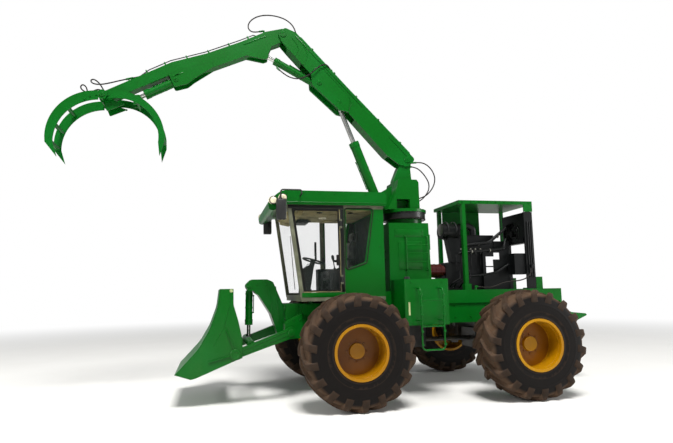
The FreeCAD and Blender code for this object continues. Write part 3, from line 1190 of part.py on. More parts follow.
def main():
    os.makedirs("parts", exist_ok=True)
    pieces = {
        "main_frame": main_frame, "front_block": front_block, "front_arch": front_arch,
        "front_axle": front_axle, "rear_axle": rear_axle, "knuckle_left": knuckle,
        "knuckle_right": lambda: mirror(knuckle()), "tie_rod": tie_rod,
        "push_arms": push_arms, "blade": blade, "blade_barrel": blade_barrel,
        "blade_rod": blade_rod, "slew_ring": slew_ring, "tower": tower, "boom": boom,
        "lift_barrel": lift_barrel, "lift_rod": lift_rod, "stick": stick,
        "reach_barrel": reach_barrel, "reach_rod": reach_rod, "jaw_front": jaw_front,
        "jaw_rear": jaw_rear, "grab_barrel": grab_barrel, "grab_rod": grab_rod,
        "cab_floor": cab_floor, "cab_frame": cab_frame, "cab_shell": cab_shell, "cab_door": cab_door,
        "door_glass": door_glass, "cab_glass": cab_glass, "cab_roof": cab_roof,
        "operator_seat": operator_seat, "steering_column": steering_column,
        "mirrors": mirrors, "roof_lamps": roof_lamps, "pedestal": pedestal,
        "side_tanks": side_tanks, "ladder": ladder, "engine": engine,
        "hydraulic_pump": hydraulic_pump, "air_cleaner": air_cleaner, "radiator": radiator,
        "canopy": canopy, "drive_line": drive_line,
    }
    routes = {
        "elbow_hose": ELBOW_HOSE, "tower_hose_upper": TOWER_HOSE_UPPER,
        "tower_hose_lower": TOWER_HOSE_LOWER, "grab_hose_inner": GRAB_HOSE_INNER,
        "grab_hose_outer": GRAB_HOSE_OUTER, "reach_hose": REACH_HOSE,
        "engine_hose": ENGINE_HOSE,
    }
    for name, route in routes.items():
        pieces[name] = lambda name=name, route=route: hose(route, name)
    left = tyre()
    for x, row in ((0.0, "front"), (-WHEELBASE, "rear")):
        for side, hand in ((1, "left"), (-1, "right")):
            pieces["tyre_%s_%s" % (row, hand)] = lambda x=x, side=side: fitted_tyre(left, x, side)
            pieces["rim_%s_%s" % (row, hand)] = lambda x=x, side=side: rim(x, side)
    for name, make in pieces.items():
        save(name, make())


main()
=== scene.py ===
"""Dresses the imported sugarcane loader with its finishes, tyres, hoses, cab trim and small parts."""

from __future__ import annotations

import logging
import math
import sys
from dataclasses import dataclass
from enum import Enum
from functools import cached_property
from typing import Any, Sequence

import bmesh
import bpy
from mathutils import Matrix, Quaternion, Vector
from mathutils.bvhtree import BVHTree


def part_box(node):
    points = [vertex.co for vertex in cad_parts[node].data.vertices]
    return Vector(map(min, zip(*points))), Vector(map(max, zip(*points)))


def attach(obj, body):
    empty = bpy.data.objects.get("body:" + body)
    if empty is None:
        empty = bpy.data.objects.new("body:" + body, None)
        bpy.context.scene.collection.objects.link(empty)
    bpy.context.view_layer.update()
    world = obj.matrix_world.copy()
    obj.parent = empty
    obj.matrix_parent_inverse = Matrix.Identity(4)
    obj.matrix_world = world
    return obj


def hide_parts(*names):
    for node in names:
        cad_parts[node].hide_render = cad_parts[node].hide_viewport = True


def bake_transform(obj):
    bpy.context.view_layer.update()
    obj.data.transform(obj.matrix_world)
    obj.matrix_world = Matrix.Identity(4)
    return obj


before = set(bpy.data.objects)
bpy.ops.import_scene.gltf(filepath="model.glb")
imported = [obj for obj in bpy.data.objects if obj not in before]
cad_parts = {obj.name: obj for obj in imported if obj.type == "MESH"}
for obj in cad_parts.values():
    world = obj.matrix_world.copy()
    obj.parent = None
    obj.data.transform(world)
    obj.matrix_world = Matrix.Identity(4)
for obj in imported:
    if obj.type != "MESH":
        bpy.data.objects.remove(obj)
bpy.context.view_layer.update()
LOG = logging.getLogger("loader")

Point = Sequence[float]
Colour = tuple[float, float, float, float]
Rows = tuple[tuple[Any, ...], ...]

SIDES = (1, -1)
ORIGIN = (0.0, 0.0, 0.0)
LEFT = (0.0, 1.0, 0.0)
UP = (0.0, 0.0, 1.0)
EVEN = (1.0, 1.0, 1.0)


def srgb(red: float, green: float, blue: float) -> Colour:
    """Turn display values into a linear colour.

    Args:
        red: Red from 0 to 255.
        green: Green from 0 to 255.
        blue: Blue from 0 to 255.

    Returns:
        The linear colour with full alpha.
    """
    def linear(value: float) -> float:
        """Linear share of one display value."""
        share = value / 255
        return share / 12.92 if share <= 0.04045 else ((share + 0.055) / 1.055) ** 2.4

    return (linear(red), linear(green), linear(blue), 1.0)


# ---- shader maths
@dataclass
class Value:
    """A shader socket that adds Math nodes where it is calculated with."""

    graph: "Graph"
    socket: bpy.types.NodeSocket

    def __add__(self, other: Any) -> "Value":
        """Sum with another value."""
        return self.graph.math("ADD", self, other)

    def __sub__(self, other: Any) -> "Value":
        """Difference from another value."""
        return self.graph.math("SUBTRACT", self, other)

    def __rsub__(self, other: Any) -> "Value":
        """Difference of another value from this one."""
        return self.graph.math("SUBTRACT", other, self)

    def __mul__(self, other: Any) -> "Value":
        """Product with another value."""
        return self.graph.math("MULTIPLY", self, other)

    __radd__ = __add__
    __rmul__ = __mul__

    def clamp(self) -> "Value":
        """This value kept from 0 to 1."""
        return self.graph.math("ADD", self, 0.0, use_clamp=True)

    def step(self, low: float, high: float) -> "Value":
        """Smooth step of this value, 0 at low and 1 at high."""
        ends = {"Value": self, "From Min": low, "From Max": high}
        return self.graph.value("ShaderNodeMapRange", "Result",
                                {"interpolation_type": "SMOOTHSTEP"}, ends)


class Graph:
    """Node tree of one material."""

    def __init__(self, name: str) -> None:
        """Make an empty material.

        Args:
            name: The material's name.
        """
        self.material = bpy.data.materials.new(name)
        self.material.use_nodes = True
        self.tree = self.material.node_tree
        self.tree.nodes.clear()
        self.output = self.tree.nodes.new("ShaderNodeOutputMaterial")

    def node(self, kind: str, settings: dict | None = None,
             inputs: dict | None = None) -> bpy.types.Node:
        """Add a node.

        Args:
            kind: The node's type.
            settings: Its settings, set first.
            inputs: Values or links of its sockets, by name or number.

        Returns:
            The new node.
        """
        made = self.tree.nodes.new(kind)
        for key, value in (settings or {}).items():
            setattr(made, key, value)
        for key, value in (inputs or {}).items():
            if isinstance(value, Value):
                self.tree.links.new(value.socket, made.inputs[key])
            else:
                made.inputs[key].default_value = value
        return made

    def value(self, kind: str, output: str | int, settings: dict | None = None,
              inputs: dict | None = None) -> Value:
        """Output of a new node, by name or number."""
        return Value(self, self.node(kind, settings, inputs).outputs[output])

    def math(self, operation: str, *values: Any, use_clamp: bool = False) -> Value:
        """Math node on values or numbers."""
        return self.value("ShaderNodeMath", 0, {"operation": operation, "use_clamp": use_clamp},
                          dict(enumerate(values)))

    def place(self, stretch: Point = EVEN) -> Value:
        """Object coordinates, stretched along the axes."""
        place = self.value("ShaderNodeTexCoord", "Object")
        return self.value("ShaderNodeVectorMath", 0, {"operation": "MULTIPLY"},
                          {0: place, 1: tuple(stretch)})

    def axis(self, name: str) -> Value:
        """One of X, Y and Z of the object coordinates."""
        return self.value("ShaderNodeSeparateXYZ", name, None, {0: self.place()})

    def upward(self) -> Value:
        """Z of the surface's normal."""
        normal = self.value("ShaderNodeNewGeometry", "Normal")
        return self.value("ShaderNodeSeparateXYZ", "Z", None, {0: normal})

    def attribute(self, name: str) -> Value:
        """A number that the mesh stores at its points."""
        return self.value("ShaderNodeAttribute", "Fac", {"attribute_name": name})

    def noise(self, scale: float, detail: float = 4.0, stretch: Point = EVEN) -> Value:
        """Noise from 0 to 1."""
        return self.value("ShaderNodeTexNoise", 0, None,
                          {"Vector": self.place(stretch), "Scale": scale, "Detail": detail})

    def cells(self, scale: float) -> Value:
        """Distance to the nearest of scattered points."""
        return self.value("ShaderNodeTexVoronoi", "Distance", None,
                          {"Vector": self.place(), "Scale": scale})

    def wave(self, scale: float, direction: str, distortion: float = 0.0) -> Value:
        """Bands along an axis."""
        return self.value("ShaderNodeTexWave", "Fac", {"bands_direction": direction},
                          {"Vector": self.place(), "Scale": scale, "Distortion": distortion})

    def mix(self, factor: Any, first: Any, second: Any) -> Value:
        """Colour between two colours."""
        return self.value("ShaderNodeMix", 2, {"data_type": "RGBA"},
                          {0: factor, 6: first, 7: second})

    def bump(self, height: Any, strength: float, distance: float) -> Value:
        """Normal of a surface raised by a height."""
        return self.value("ShaderNodeBump", 0, None,
                          {"Height": height, "Strength": strength, "Distance": distance})

    def surface(self, **inputs: Any) -> bpy.types.Material:
        """Principled surface of the material.

        Args:
            inputs: Its sockets, with _ for a space in their names.

        Returns:
            The finished material.
        """
        named = {key.replace("_", " "): value for key, value in inputs.items()}
        made = self.node("ShaderNodeBsdfPrincipled", None, named)
        self.tree.links.new(made.outputs[0], self.output.inputs["Surface"])
        return self.material


# ---- finishes
@dataclass(frozen=True)
class Coating:
    """What every finish has."""

    name: str
    colour: Colour


@dataclass(frozen=True)
class Paint(Coating):
    """Sprayed enamel with faded patches, streaks, dust on flats and mud near the ground."""

    faded: Colour
    dust: Colour = srgb(120, 108, 84)
    roughness: float = 0.34
    dusting: float = 0.5
    coat: float = 0.25
    shine: float = 0.4

    def make(self) -> bpy.types.Material:
        """Build the material.

        Returns:
            The material.
        """
        g = Graph(self.name)
        fine = g.noise(46.0, 6.0)
        streaks = g.noise(5.0, 5.0, (1.0, 1.0, 0.14))
        faded = (g.noise(0.8, 3.0).step(0.38, 0.66) * 0.75 + fine * 0.25).clamp()
        mud = ((1.35 - g.axis("Z")) * 0.9).clamp() * streaks.step(0.4, 0.66)
        flats = g.upward().step(0.55, 0.98) * 0.45
        dust = ((mud * 0.75 + flats + streaks.step(0.6, 0.78) * 0.2)
                * fine.step(0.28, 0.66) * self.dusting).clamp()
        chips = g.cells(34.0).step(0.07, 0.035) * g.noise(3.2, 3.0).step(0.6, 0.72)
        painted = g.mix(faded, self.colour, self.faded)
        chipped = g.mix(chips * 0.7, painted, srgb(44, 40, 34))
        height = g.noise(160.0, 2.0) * 0.3 - chips * 0.6 + dust * 0.3
        return g.surface(Base_Color=g.mix(dust, chipped, self.dust),
                         Roughness=(dust * 0.5 + fine * 0.12 + self.roughness - 0.06).clamp(),
                         Coat_Weight=(self.coat - dust * self.coat).clamp(), Coat_Roughness=0.12,
                         Specular_IOR_Level=self.shine, Normal=g.bump(height, 0.16, 0.002))


@dataclass(frozen=True)
class Steel(Coating):
    """Bare or plated metal with fine scratches and a film of oil and dirt."""

    roughness: float = 0.2
    dirt: float = 0.3

    def make(self) -> bpy.types.Material:
        """Build the material.

        Returns:
            The material.
        """
        g = Graph(self.name)
        scratch = g.noise(90.0, 3.0, (1.0, 1.0, 0.05))
        film = g.noise(4.0, 5.0).step(0.45, 0.75) * self.dirt
        return g.surface(Base_Color=g.mix(film, self.colour, srgb(58, 50, 42)), Metallic=1.0 - film,
                         Roughness=(scratch * 0.18 + film * 0.5 + self.roughness - 0.08).clamp(),
                         Normal=g.bump(scratch, 0.08, 0.001))


@dataclass(frozen=True)
class Rubber:
    """Rubber whose points may store how dusty they are."""

    name: str
    colour: Colour = srgb(9, 8, 8)
    dust: Colour = srgb(96, 72, 54)
    stored: bool = False
    ribs: float = 0.0

    def make(self) -> bpy.types.Material:
        """Build the material.

        Returns:
            The material.
        """
        g = Graph(self.name)
        fine = g.noise(38.0, 6.0)
        patch = g.noise(4.5, 5.0)
        held = g.attribute("dust") if self.stored else 0.12 + g.upward().step(0.3, 1.0) * 0.2
        dust = (held * (patch * 1.1 + fine * 0.7 - 0.1)).clamp()
        tone = g.mix(fine.step(0.35, 0.7), self.dust, srgb(84, 69, 55))
        height = fine * 0.5 + patch * 0.5
        if self.ribs:
            height = height * 0.2 + g.wave(self.ribs, "DIAGONAL") * 0.5
        return g.surface(Base_Color=g.mix(dust, self.colour, tone),
                         Roughness=(dust * 0.35 + 0.52 + fine * 0.1).clamp(),
                         Specular_IOR_Level=0.12, Normal=g.bump(height, 0.3, 0.002))


@dataclass(frozen=True)
class Moulded(Coating):
    """Moulded plastic or lining with a fine grain."""

    worn: Colour
    roughness: float = 0.5
    grain: float = 260.0

    def make(self) -> bpy.types.Material:
        """Build the material.

        Returns:
            The material.
        """
        g = Graph(self.name)
        worn = g.noise(6.0, 5.0).step(0.42, 0.72)
        grain = g.cells(self.grain)
        return g.surface(Base_Color=g.mix(worn, self.colour, self.worn),
                         Roughness=(worn * 0.12 + self.roughness).clamp(),
                         Normal=g.bump(grain, 0.18, 0.0008))


@dataclass(frozen=True)
class Cloth(Coating):
    """Woven seat cloth with a darker warp."""

    warp: Colour

    def make(self) -> bpy.types.Material:
        """Build the material.

        Returns:
            The material.
        """
        g = Graph(self.name)
        weave = g.wave(190.0, "X", 0.4) * g.wave(190.0, "Y", 0.4)
        fuzz = g.noise(300.0, 3.0)
        worn = g.noise(7.0, 4.0).step(0.45, 0.75) * 0.4
        tone = g.mix(weave.step(0.2, 0.7), self.warp, self.colour)
        return g.surface(Base_Color=g.mix(worn, tone, srgb(96, 92, 86)), Roughness=0.9,
                         Sheen_Weight=0.25, Normal=g.bump(weave + fuzz * 0.4, 0.4, 0.001))


@dataclass(frozen=True)
class Pane:
    """Clear window glass with a little dust."""

    name: str
    tint: Colour
    alpha: float = 0.05

    def make(self) -> bpy.types.Material:
        """Build the material.

        Returns:
            The material.
        """
        g = Graph(self.name)
        film = g.noise(3.0, 5.0, (1.0, 1.0, 0.5)).step(0.5, 0.85)
        made = g.surface(Base_Color=self.tint, Roughness=film * 0.08 + 0.03,
                         Alpha=film * 0.03 + self.alpha)
        made.surface_render_method = "BLENDED"
        return made


@dataclass(frozen=True)
class Lens(Coating):
    """Ribbed lamp lens over a bright reflector."""

    glow: float = 0.15

    def make(self) -> bpy.types.Material:
        """Build the material.

        Returns:
            The material.
        """
        g = Graph(self.name)
        ribs = g.wave(60.0, "Y")
        return g.surface(Base_Color=g.mix(ribs * 0.35, self.colour, srgb(120, 118, 105)),
                         Roughness=0.14, Coat_Weight=0.8, Emission_Color=self.colour,
                         Emission_Strength=self.glow, Normal=g.bump(ribs, 0.3, 0.002))


class Finish(Enum):
    """Every finish on the loader. The solids' finishes are looked up by their slot's name."""

    GREEN = Paint("green", srgb(0, 84, 12), srgb(4, 94, 26), roughness=0.3, dusting=0.08,
                  coat=0.05, shine=0.2)
    AXLE_BLACK = Paint("axle_black", srgb(16, 16, 15), srgb(28, 27, 25), roughness=0.45,
                       dusting=0.6)
    CHROME = Steel("chrome", srgb(205, 205, 200))
    PILLAR_GREY = Moulded("pillar_grey", srgb(84, 86, 66), srgb(106, 108, 86))
    TRIM_BLACK = Paint("trim_black", srgb(14, 15, 13), srgb(22, 22, 19), dusting=0.15, shine=0.25)
    GLASS = Pane("glass", srgb(70, 84, 76))
    CLOTH = Cloth("cloth", srgb(34, 34, 36), srgb(20, 20, 22))
    BLACK_PLASTIC = Moulded("black_plastic", srgb(15, 15, 15), srgb(26, 26, 24))
    LAMP = Lens("lamp", srgb(232, 224, 190))
    ENGINE_BLACK = Paint("engine_black", srgb(6, 8, 8), srgb(13, 14, 13), roughness=0.4,
                         dusting=0.05, coat=0.06, shine=0.22)
    PUMP_RED = Paint("pump_red", srgb(70, 16, 13), srgb(48, 13, 11), roughness=0.3,
                     dusting=0.15)
    HOSE = Rubber("hose", srgb(26, 26, 27), srgb(86, 78, 66), ribs=90.0)
    TYRE = Rubber("tyre", stored=True)
    WHEEL_YELLOW = Paint("wheel_yellow", srgb(172, 122, 0), srgb(146, 98, 0),
                         srgb(96, 62, 20), roughness=0.36, dusting=0.15, coat=0.05, shine=0.2)
    # Darker yellow of the sheet laid over each rim's recessed centre: painted shade of the recess.
    WHEEL_SHADE = Paint("wheel_shade", srgb(126, 76, 0), srgb(100, 58, 2),
                        srgb(70, 44, 12), coat=0.05, shine=0.2)
    PIPE_GREEN = Paint("pipe_green", srgb(28, 112, 50), srgb(44, 128, 66), roughness=0.22,
                       dusting=0.2)
    ZINC = Steel("zinc", srgb(150, 148, 138), 0.36, 0.45)
    SEAL = Rubber("seal", srgb(20, 20, 20), srgb(70, 66, 58))
    HEADLINER = Moulded("headliner", srgb(158, 146, 100), srgb(122, 112, 76), 0.85, 420.0)
    REFLECTOR = Moulded("reflector", srgb(176, 186, 132), srgb(150, 160, 112), 0.3, 600.0)
    SCREEN = Moulded("screen", srgb(16, 20, 26), srgb(22, 28, 34), 0.12, 30.0)

    @property
    def slot(self) -> str:
        """The record's material slot that the finish stands for."""
        return SLOTS.get(self.name, self.value.name)

    def material(self) -> bpy.types.Material:
        """Make the finish's material once.

        Returns:
            The material.
        """
        found = bpy.data.materials.get("dress_" + self.value.name)
        if found is None:
            found = self.value.make()
            found.name = "dress_" + self.value.name
        return found


SLOTS = {"PIPE_GREEN": "green", "WHEEL_SHADE": "wheel_yellow", "HEADLINER": "pillar_grey",
         "REFLECTOR": "pillar_grey", "SEAL": "black_plastic", "SCREEN": "black_plastic",
         "ZINC": "engine_black"}


# ---- meshes
class Shape:
    """A mesh under construction, in metres in the shared frame."""

    def __init__(self) -> None:
        """Start with nothing."""
        self.bm = bmesh.new()

    def _bevel(self, verts: Sequence[bmesh.types.BMVert], width: float, segments: int) -> None:
        """Round the sharp edges of what was just made.

        Args:
            verts: Its points.
            width: Width of the rounding.
            segments: Steps in it.
        """
        if width <= 0:
            return
        own = set(verts)
        edges = [e for e in self.bm.edges if e.verts[0] in own and e.verts[1] in own
                 and len(e.link_faces) == 2 and e.calc_face_angle(0.0) > 0.6]
        bmesh.ops.bevel(self.bm, geom=edges, offset=width, segments=segments, affect="EDGES",
                        profile=0.5, clamp_overlap=True)

    def box(self, low: Point, high: Point, bevel: float = 0.004, segments: int = 2) -> "Shape":
        """Add a block with rounded edges.

        Args:
            low: Its lowest corner.
            high: Its highest corner.
            bevel: Radius of its edges.
            segments: Steps in a rounded edge.

        Returns:
            This shape.
        """
        low, high = Vector(low), Vector(high)
        place = Matrix.LocRotScale((low + high) / 2, None, high - low)
        made = bmesh.ops.create_cube(self.bm, size=1.0, matrix=place)["verts"]
        self._bevel(made, bevel, segments)
        return self

    def prism(self, points: Sequence[Point], low: float, high: float, axis: str = "Y",
              bevel: float = 0.003) -> "Shape":
        """Add a plate with a drawn outline.

        Args:
            points: Corners of the outline, in the order XZ for Y, YZ for X and XY for Z.
            low: Where the plate starts along the axis.
            high: Where it ends.
            axis: The axis that the outline faces.
            bevel: Radius of its edges.

        Returns:
            This shape.
        """
        def at(point: Point, depth: float) -> Vector:
            """Place of a corner at a depth.

            Args:
                point: The corner on the outline.
                depth: The place along the axis.

            Returns:
                The corner in the shared frame.
            """
            if axis == "X":
                return Vector((depth, point[0], point[1]))
            if axis == "Y":
                return Vector((point[0], depth, point[1]))
            return Vector((point[0], point[1], depth))

        near = [self.bm.verts.new(at(p, low)) for p in points]
        far = [self.bm.verts.new(at(p, high)) for p in points]
        count = len(points)
        faces = [self.bm.faces.new(near), self.bm.faces.new(far[::-1])]
        for i in range(count):
            j = (i + 1) % count
            faces.append(self.bm.faces.new((near[j], near[i], far[i], far[j])))
        bmesh.ops.recalc_face_normals(self.bm, faces=faces)
        self._bevel(near + far, bevel, 2)
        return self

    def lathe(self, profile: Sequence[Point], centre: Point, axis: Point = LEFT,
              sides: int = 48) -> "Shape":
        """Add a turned piece.

        Args:
            profile: Places along the axis and radii, from one end to the other.
            centre: Point that the places count from.
            axis: Direction of the axis.
            sides: Steps round the axis.

        Returns:
            This shape.
        """
        turn = Vector(axis).to_track_quat("Z", "Y")
        rings: list[list[bmesh.types.BMVert]] = []
        for place, radius in profile:
            count = 1 if radius < 1e-6 else sides
            ring = []
            for i in range(count):
                angle = 2 * math.pi * i / sides
                flat = Vector((radius * math.cos(angle), radius * math.sin(angle), place))
                ring.append(self.bm.verts.new(Vector(centre) + turn @ flat))
            rings.append(ring)
        faces = []
        for first, second in zip(rings, rings[1:]):
            for i in range(sides):
                j = (i + 1) % sides
                corners = [first[i % len(first)], first[j % len(first)],
                           second[j % len(second)], second[i % len(second)]]
                unique = list(dict.fromkeys(corners))
                if len(unique) > 2:
                    faces.append(self.bm.faces.new(unique))
        for ring in (rings[0], rings[-1]):
            if len(ring) > 1 and profile[0] != profile[-1]:
                faces.append(self.bm.faces.new(ring))
        bmesh.ops.recalc_face_normals(self.bm, faces=faces)
        return self

    def rod(self, start: Point, end: Point, radius: float, bevel: float = 0.002,
            sides: int = 24) -> "Shape":
        """Add a round bar with eased ends.

        Args:
            start: Where it starts.
            end: Where it ends.
            radius: Its radius.
            bevel: Ease of its ends.
            sides: Steps round it.

        Returns:
            This shape.
        """
        length = (Vector(end) - Vector(start)).length
        ease = min(bevel, length / 3, radius / 2)
        profile = [(0.0, 0.0), (0.0, radius - ease), (ease, radius), (length - ease, radius),
                   (length, radius - ease), (length, 0.0)]
        return self.lathe(profile, start, Vector(end) - Vector(start), sides)

    def ring(self, centre: Point, axis: Point, radius: float, thickness: float,
             sides: int = 64, round_sides: int = 12) -> "Shape":
        """Add a round ring of round wire.

        Args:
            centre: Its middle.
            axis: Direction of its axis.
            radius: The ring's radius.
            thickness: The wire's radius.
            sides: Steps round the ring.
            round_sides: Steps round the wire.

        Returns:
            This shape.
        """
        profile = [(thickness * math.sin(2 * math.pi * i / round_sides),
                    radius + thickness * math.cos(2 * math.pi * i / round_sides))
                   for i in range(round_sides)]
        return self.lathe(profile + [profile[0]], centre, axis, sides)

    def band(self, centre: Point, axis: Point, start: float, stop: float, inner: float,
             outer: float, sides: int = 48) -> "Shape":
        """Add a flat band round an axis.

        Args:
            centre: Point that the places along the axis count from.
            axis: Direction of the axis.
            start: Where the band starts.
            stop: Where it ends.
            inner: Its inner radius.
            outer: Its outer radius.
            sides: Steps round the axis.

        Returns:
            This shape.
        """
        ease = min((outer - inner) / 3, (stop - start) / 3)
        corners = [(start, inner), (start, outer - ease), (start + ease, outer),
                   (stop - ease, outer), (stop, outer - ease), (stop, inner)]
        return self.lathe(corners + [corners[0]], centre, axis, sides)

    def bolt(self, centre: Point, axis: Point, across: float = 0.012) -> "Shape":
        """Add a hexagon bolt head on its washer, standing on a face."""
        shares = ((0.0, 1.5), (0.25, 1.5), (0.25, 1.0), (1.1, 1.0), (1.3, 0.8), (1.3, 0.0))
        return self.lathe([(across * p, across * r) for p, r in shares], centre, axis, 6)

    def sweep(self, points: Sequence[Point], radius: float, sides: int = 14) -> "Shape":
        """Add a round tube along a line of points.

        Args:
            points: The line, close enough together to look smooth.
            radius: The tube's radius.
            sides: Steps round it.

        Returns:
            This shape.
        """
        line = [Vector(p) for p in points]
        rings = []
        normal = None
        for before, point, after in zip([line[0], *line], line, [*line[1:], line[-1]]):
            tangent = (after - before).normalized()
            if normal is None:
                normal = tangent.orthogonal().normalized()
            normal = (normal - tangent * normal.dot(tangent)).normalized()
            across = tangent.cross(normal)
            turns = [2 * math.pi * k / sides for k in range(sides)]
            rings.append([self.bm.verts.new(point + (normal * math.cos(turn)
                                                     + across * math.sin(turn)) * radius)
                          for turn in turns])
        faces = [self.bm.faces.new(rings[0][::-1]), self.bm.faces.new(rings[-1])]
        for first, second in zip(rings, rings[1:]):
            for k in range(sides):
                j = (k + 1) % sides
                faces.append(self.bm.faces.new((first[k], first[j], second[j], second[k])))
        bmesh.ops.recalc_face_normals(self.bm, faces=faces)
        return self

    def pipe(self, corners: Sequence[Point], radius: float, bend: float,
             sides: int = 14) -> "Shape":
        """Add a rigid pipe with bent corners.

        Args:
            corners: Its ends and the corners between them.
            radius: The pipe's radius.
            bend: Radius of its bends.
            sides: Steps round it.

        Returns:
            This shape.
        """
        nodes = [Vector(p) for p in corners]
        line = [nodes[0]]
        for before, here, after in zip(nodes, nodes[1:], nodes[2:]):
            back, on = (before - here).normalized(), (after - here).normalized()
            half = back.angle(on) / 2
            reach = min(bend / math.tan(half), (before - here).length * 0.48,
                        (after - here).length * 0.48)
            size = reach * math.tan(half)
            middle = here + (back + on).normalized() * (size / math.sin(half))
            first, last = here + back * reach - middle, here + on * reach - middle
            turn = first.rotation_difference(last)
            line += [middle + Quaternion().slerp(turn, k / 6) @ first for k in range(7)]
        line.append(nodes[-1])
        return self.sweep(line, radius, sides)

    def mirrored(self) -> "Shape":
        """Add the same again on the machine's other side.

        Returns:
            This shape.
        """
        whole = self.bm.verts[:] + self.bm.edges[:] + self.bm.faces[:]
        made = bmesh.ops.duplicate(self.bm, geom=whole)
        verts = [v for v in made["geom"] if isinstance(v, bmesh.types.BMVert)]
        faces = [f for f in made["geom"] if isinstance(f, bmesh.types.BMFace)]
        for vert in verts:
            vert.co.y = -vert.co.y
        bmesh.ops.reverse_faces(self.bm, faces=faces)
        return self

    def moved(self, place: Matrix) -> "Shape":
        """Place everything made so far."""
        bmesh.ops.transform(self.bm, matrix=place, verts=self.bm.verts[:])
        return self

    def object(self, name: str, finish: Finish, angle: float = 0.6) -> bpy.types.Object:
        """Make the object.

        Args:
            name: Its name.
            finish: Its finish.
            angle: Edges sharper than this stay sharp.

        Returns:
            The object.
        """
        mesh = bpy.data.meshes.new(name)
        for edge in self.bm.edges:
            edge.smooth = len(edge.link_faces) == 2 and edge.calc_face_angle(0.0) < angle
        for face in self.bm.faces:
            face.smooth = True
        self.bm.to_mesh(mesh)
        self.bm.free()
        made = bpy.data.objects.new(name, mesh)
        bpy.context.scene.collection.objects.link(made)
        mesh.materials.append(finish.material())
        return made

    def piece(self, name: str, finish: Finish, body: str = "chassis", slot: str = "",
              angle: float = 0.6) -> bpy.types.Object:
        """Finish this shape as a piece of the machine.

        Args:
            name: The piece's name.
            finish: Its finish.
            body: The body that it rides on.
            slot: The record's material slot, where it isn't the finish's own. Not used.
            angle: Edges sharper than this stay sharp.

        Returns:
            The piece.
        """
        return mount(self.object(name, finish, angle), body)


class Solids:
    """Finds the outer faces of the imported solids, so that small parts stand on them."""

    def __init__(self) -> None:
        """Gather every solid's triangles."""
        points, faces = [], []
        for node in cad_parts.values():
            first = len(points)
            points += [node.matrix_world @ v.co for v in node.data.vertices]
            faces += [[first + i for i in p.vertices] for p in node.data.polygons]
        self.tree = BVHTree.FromPolygons(points, faces)

    def hit(self, start: Point, toward: Point, reach: float = 0.5) -> Vector | None:
        """Find where a straight line first meets a solid square on.

        Args:
            start: Where the line starts.
            toward: Its direction.
            reach: Its length.

        Returns:
            The place, or None.
        """
        place, normal, _, _ = self.tree.ray_cast(Vector(start), Vector(toward).normalized(), reach)
        if place is None or abs(normal.dot(Vector(toward).normalized())) < 0.8:
            return None
        return place

    def bolts(self, shape: Shape, starts: Sequence[Point], toward: Point, across: float,
              reach: float = 0.5) -> None:
        """Add a bolt wherever a line from a start meets a solid.

        Args:
            shape: The shape to add to.
            starts: Where the lines start.
            toward: Their direction.
            across: Half the width of a bolt's head.
            reach: Their length.
        """
        for start in starts:
            place = self.hit(start, toward, reach)
            if place is not None:
                shape.bolt(place, -Vector(toward), across)


SOLIDS = Solids()


def mount(made: bpy.types.Object, body: str) -> bpy.types.Object:
    """Ride a finished object on a body and report it.

    Args:
        made: The object, in place.
        body: The body that it rides on.

    Returns:
        The object.
    """
    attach(made, body)
    LOG.info("%s on %s, %d faces", made.name, body, len(made.data.polygons))
    return made


def plain_mesh(source: bpy.types.Object) -> bpy.types.Mesh:
    """Make a plain mesh of what an object's modifiers or curve make.

    Args:
        source: The object.

    Returns:
        The mesh.
    """
    bpy.context.view_layer.update()
    graph = bpy.context.evaluated_depsgraph_get()
    return bpy.data.meshes.new_from_object(source.evaluated_get(graph),
                                           preserve_all_data_layers=True, depsgraph=graph)


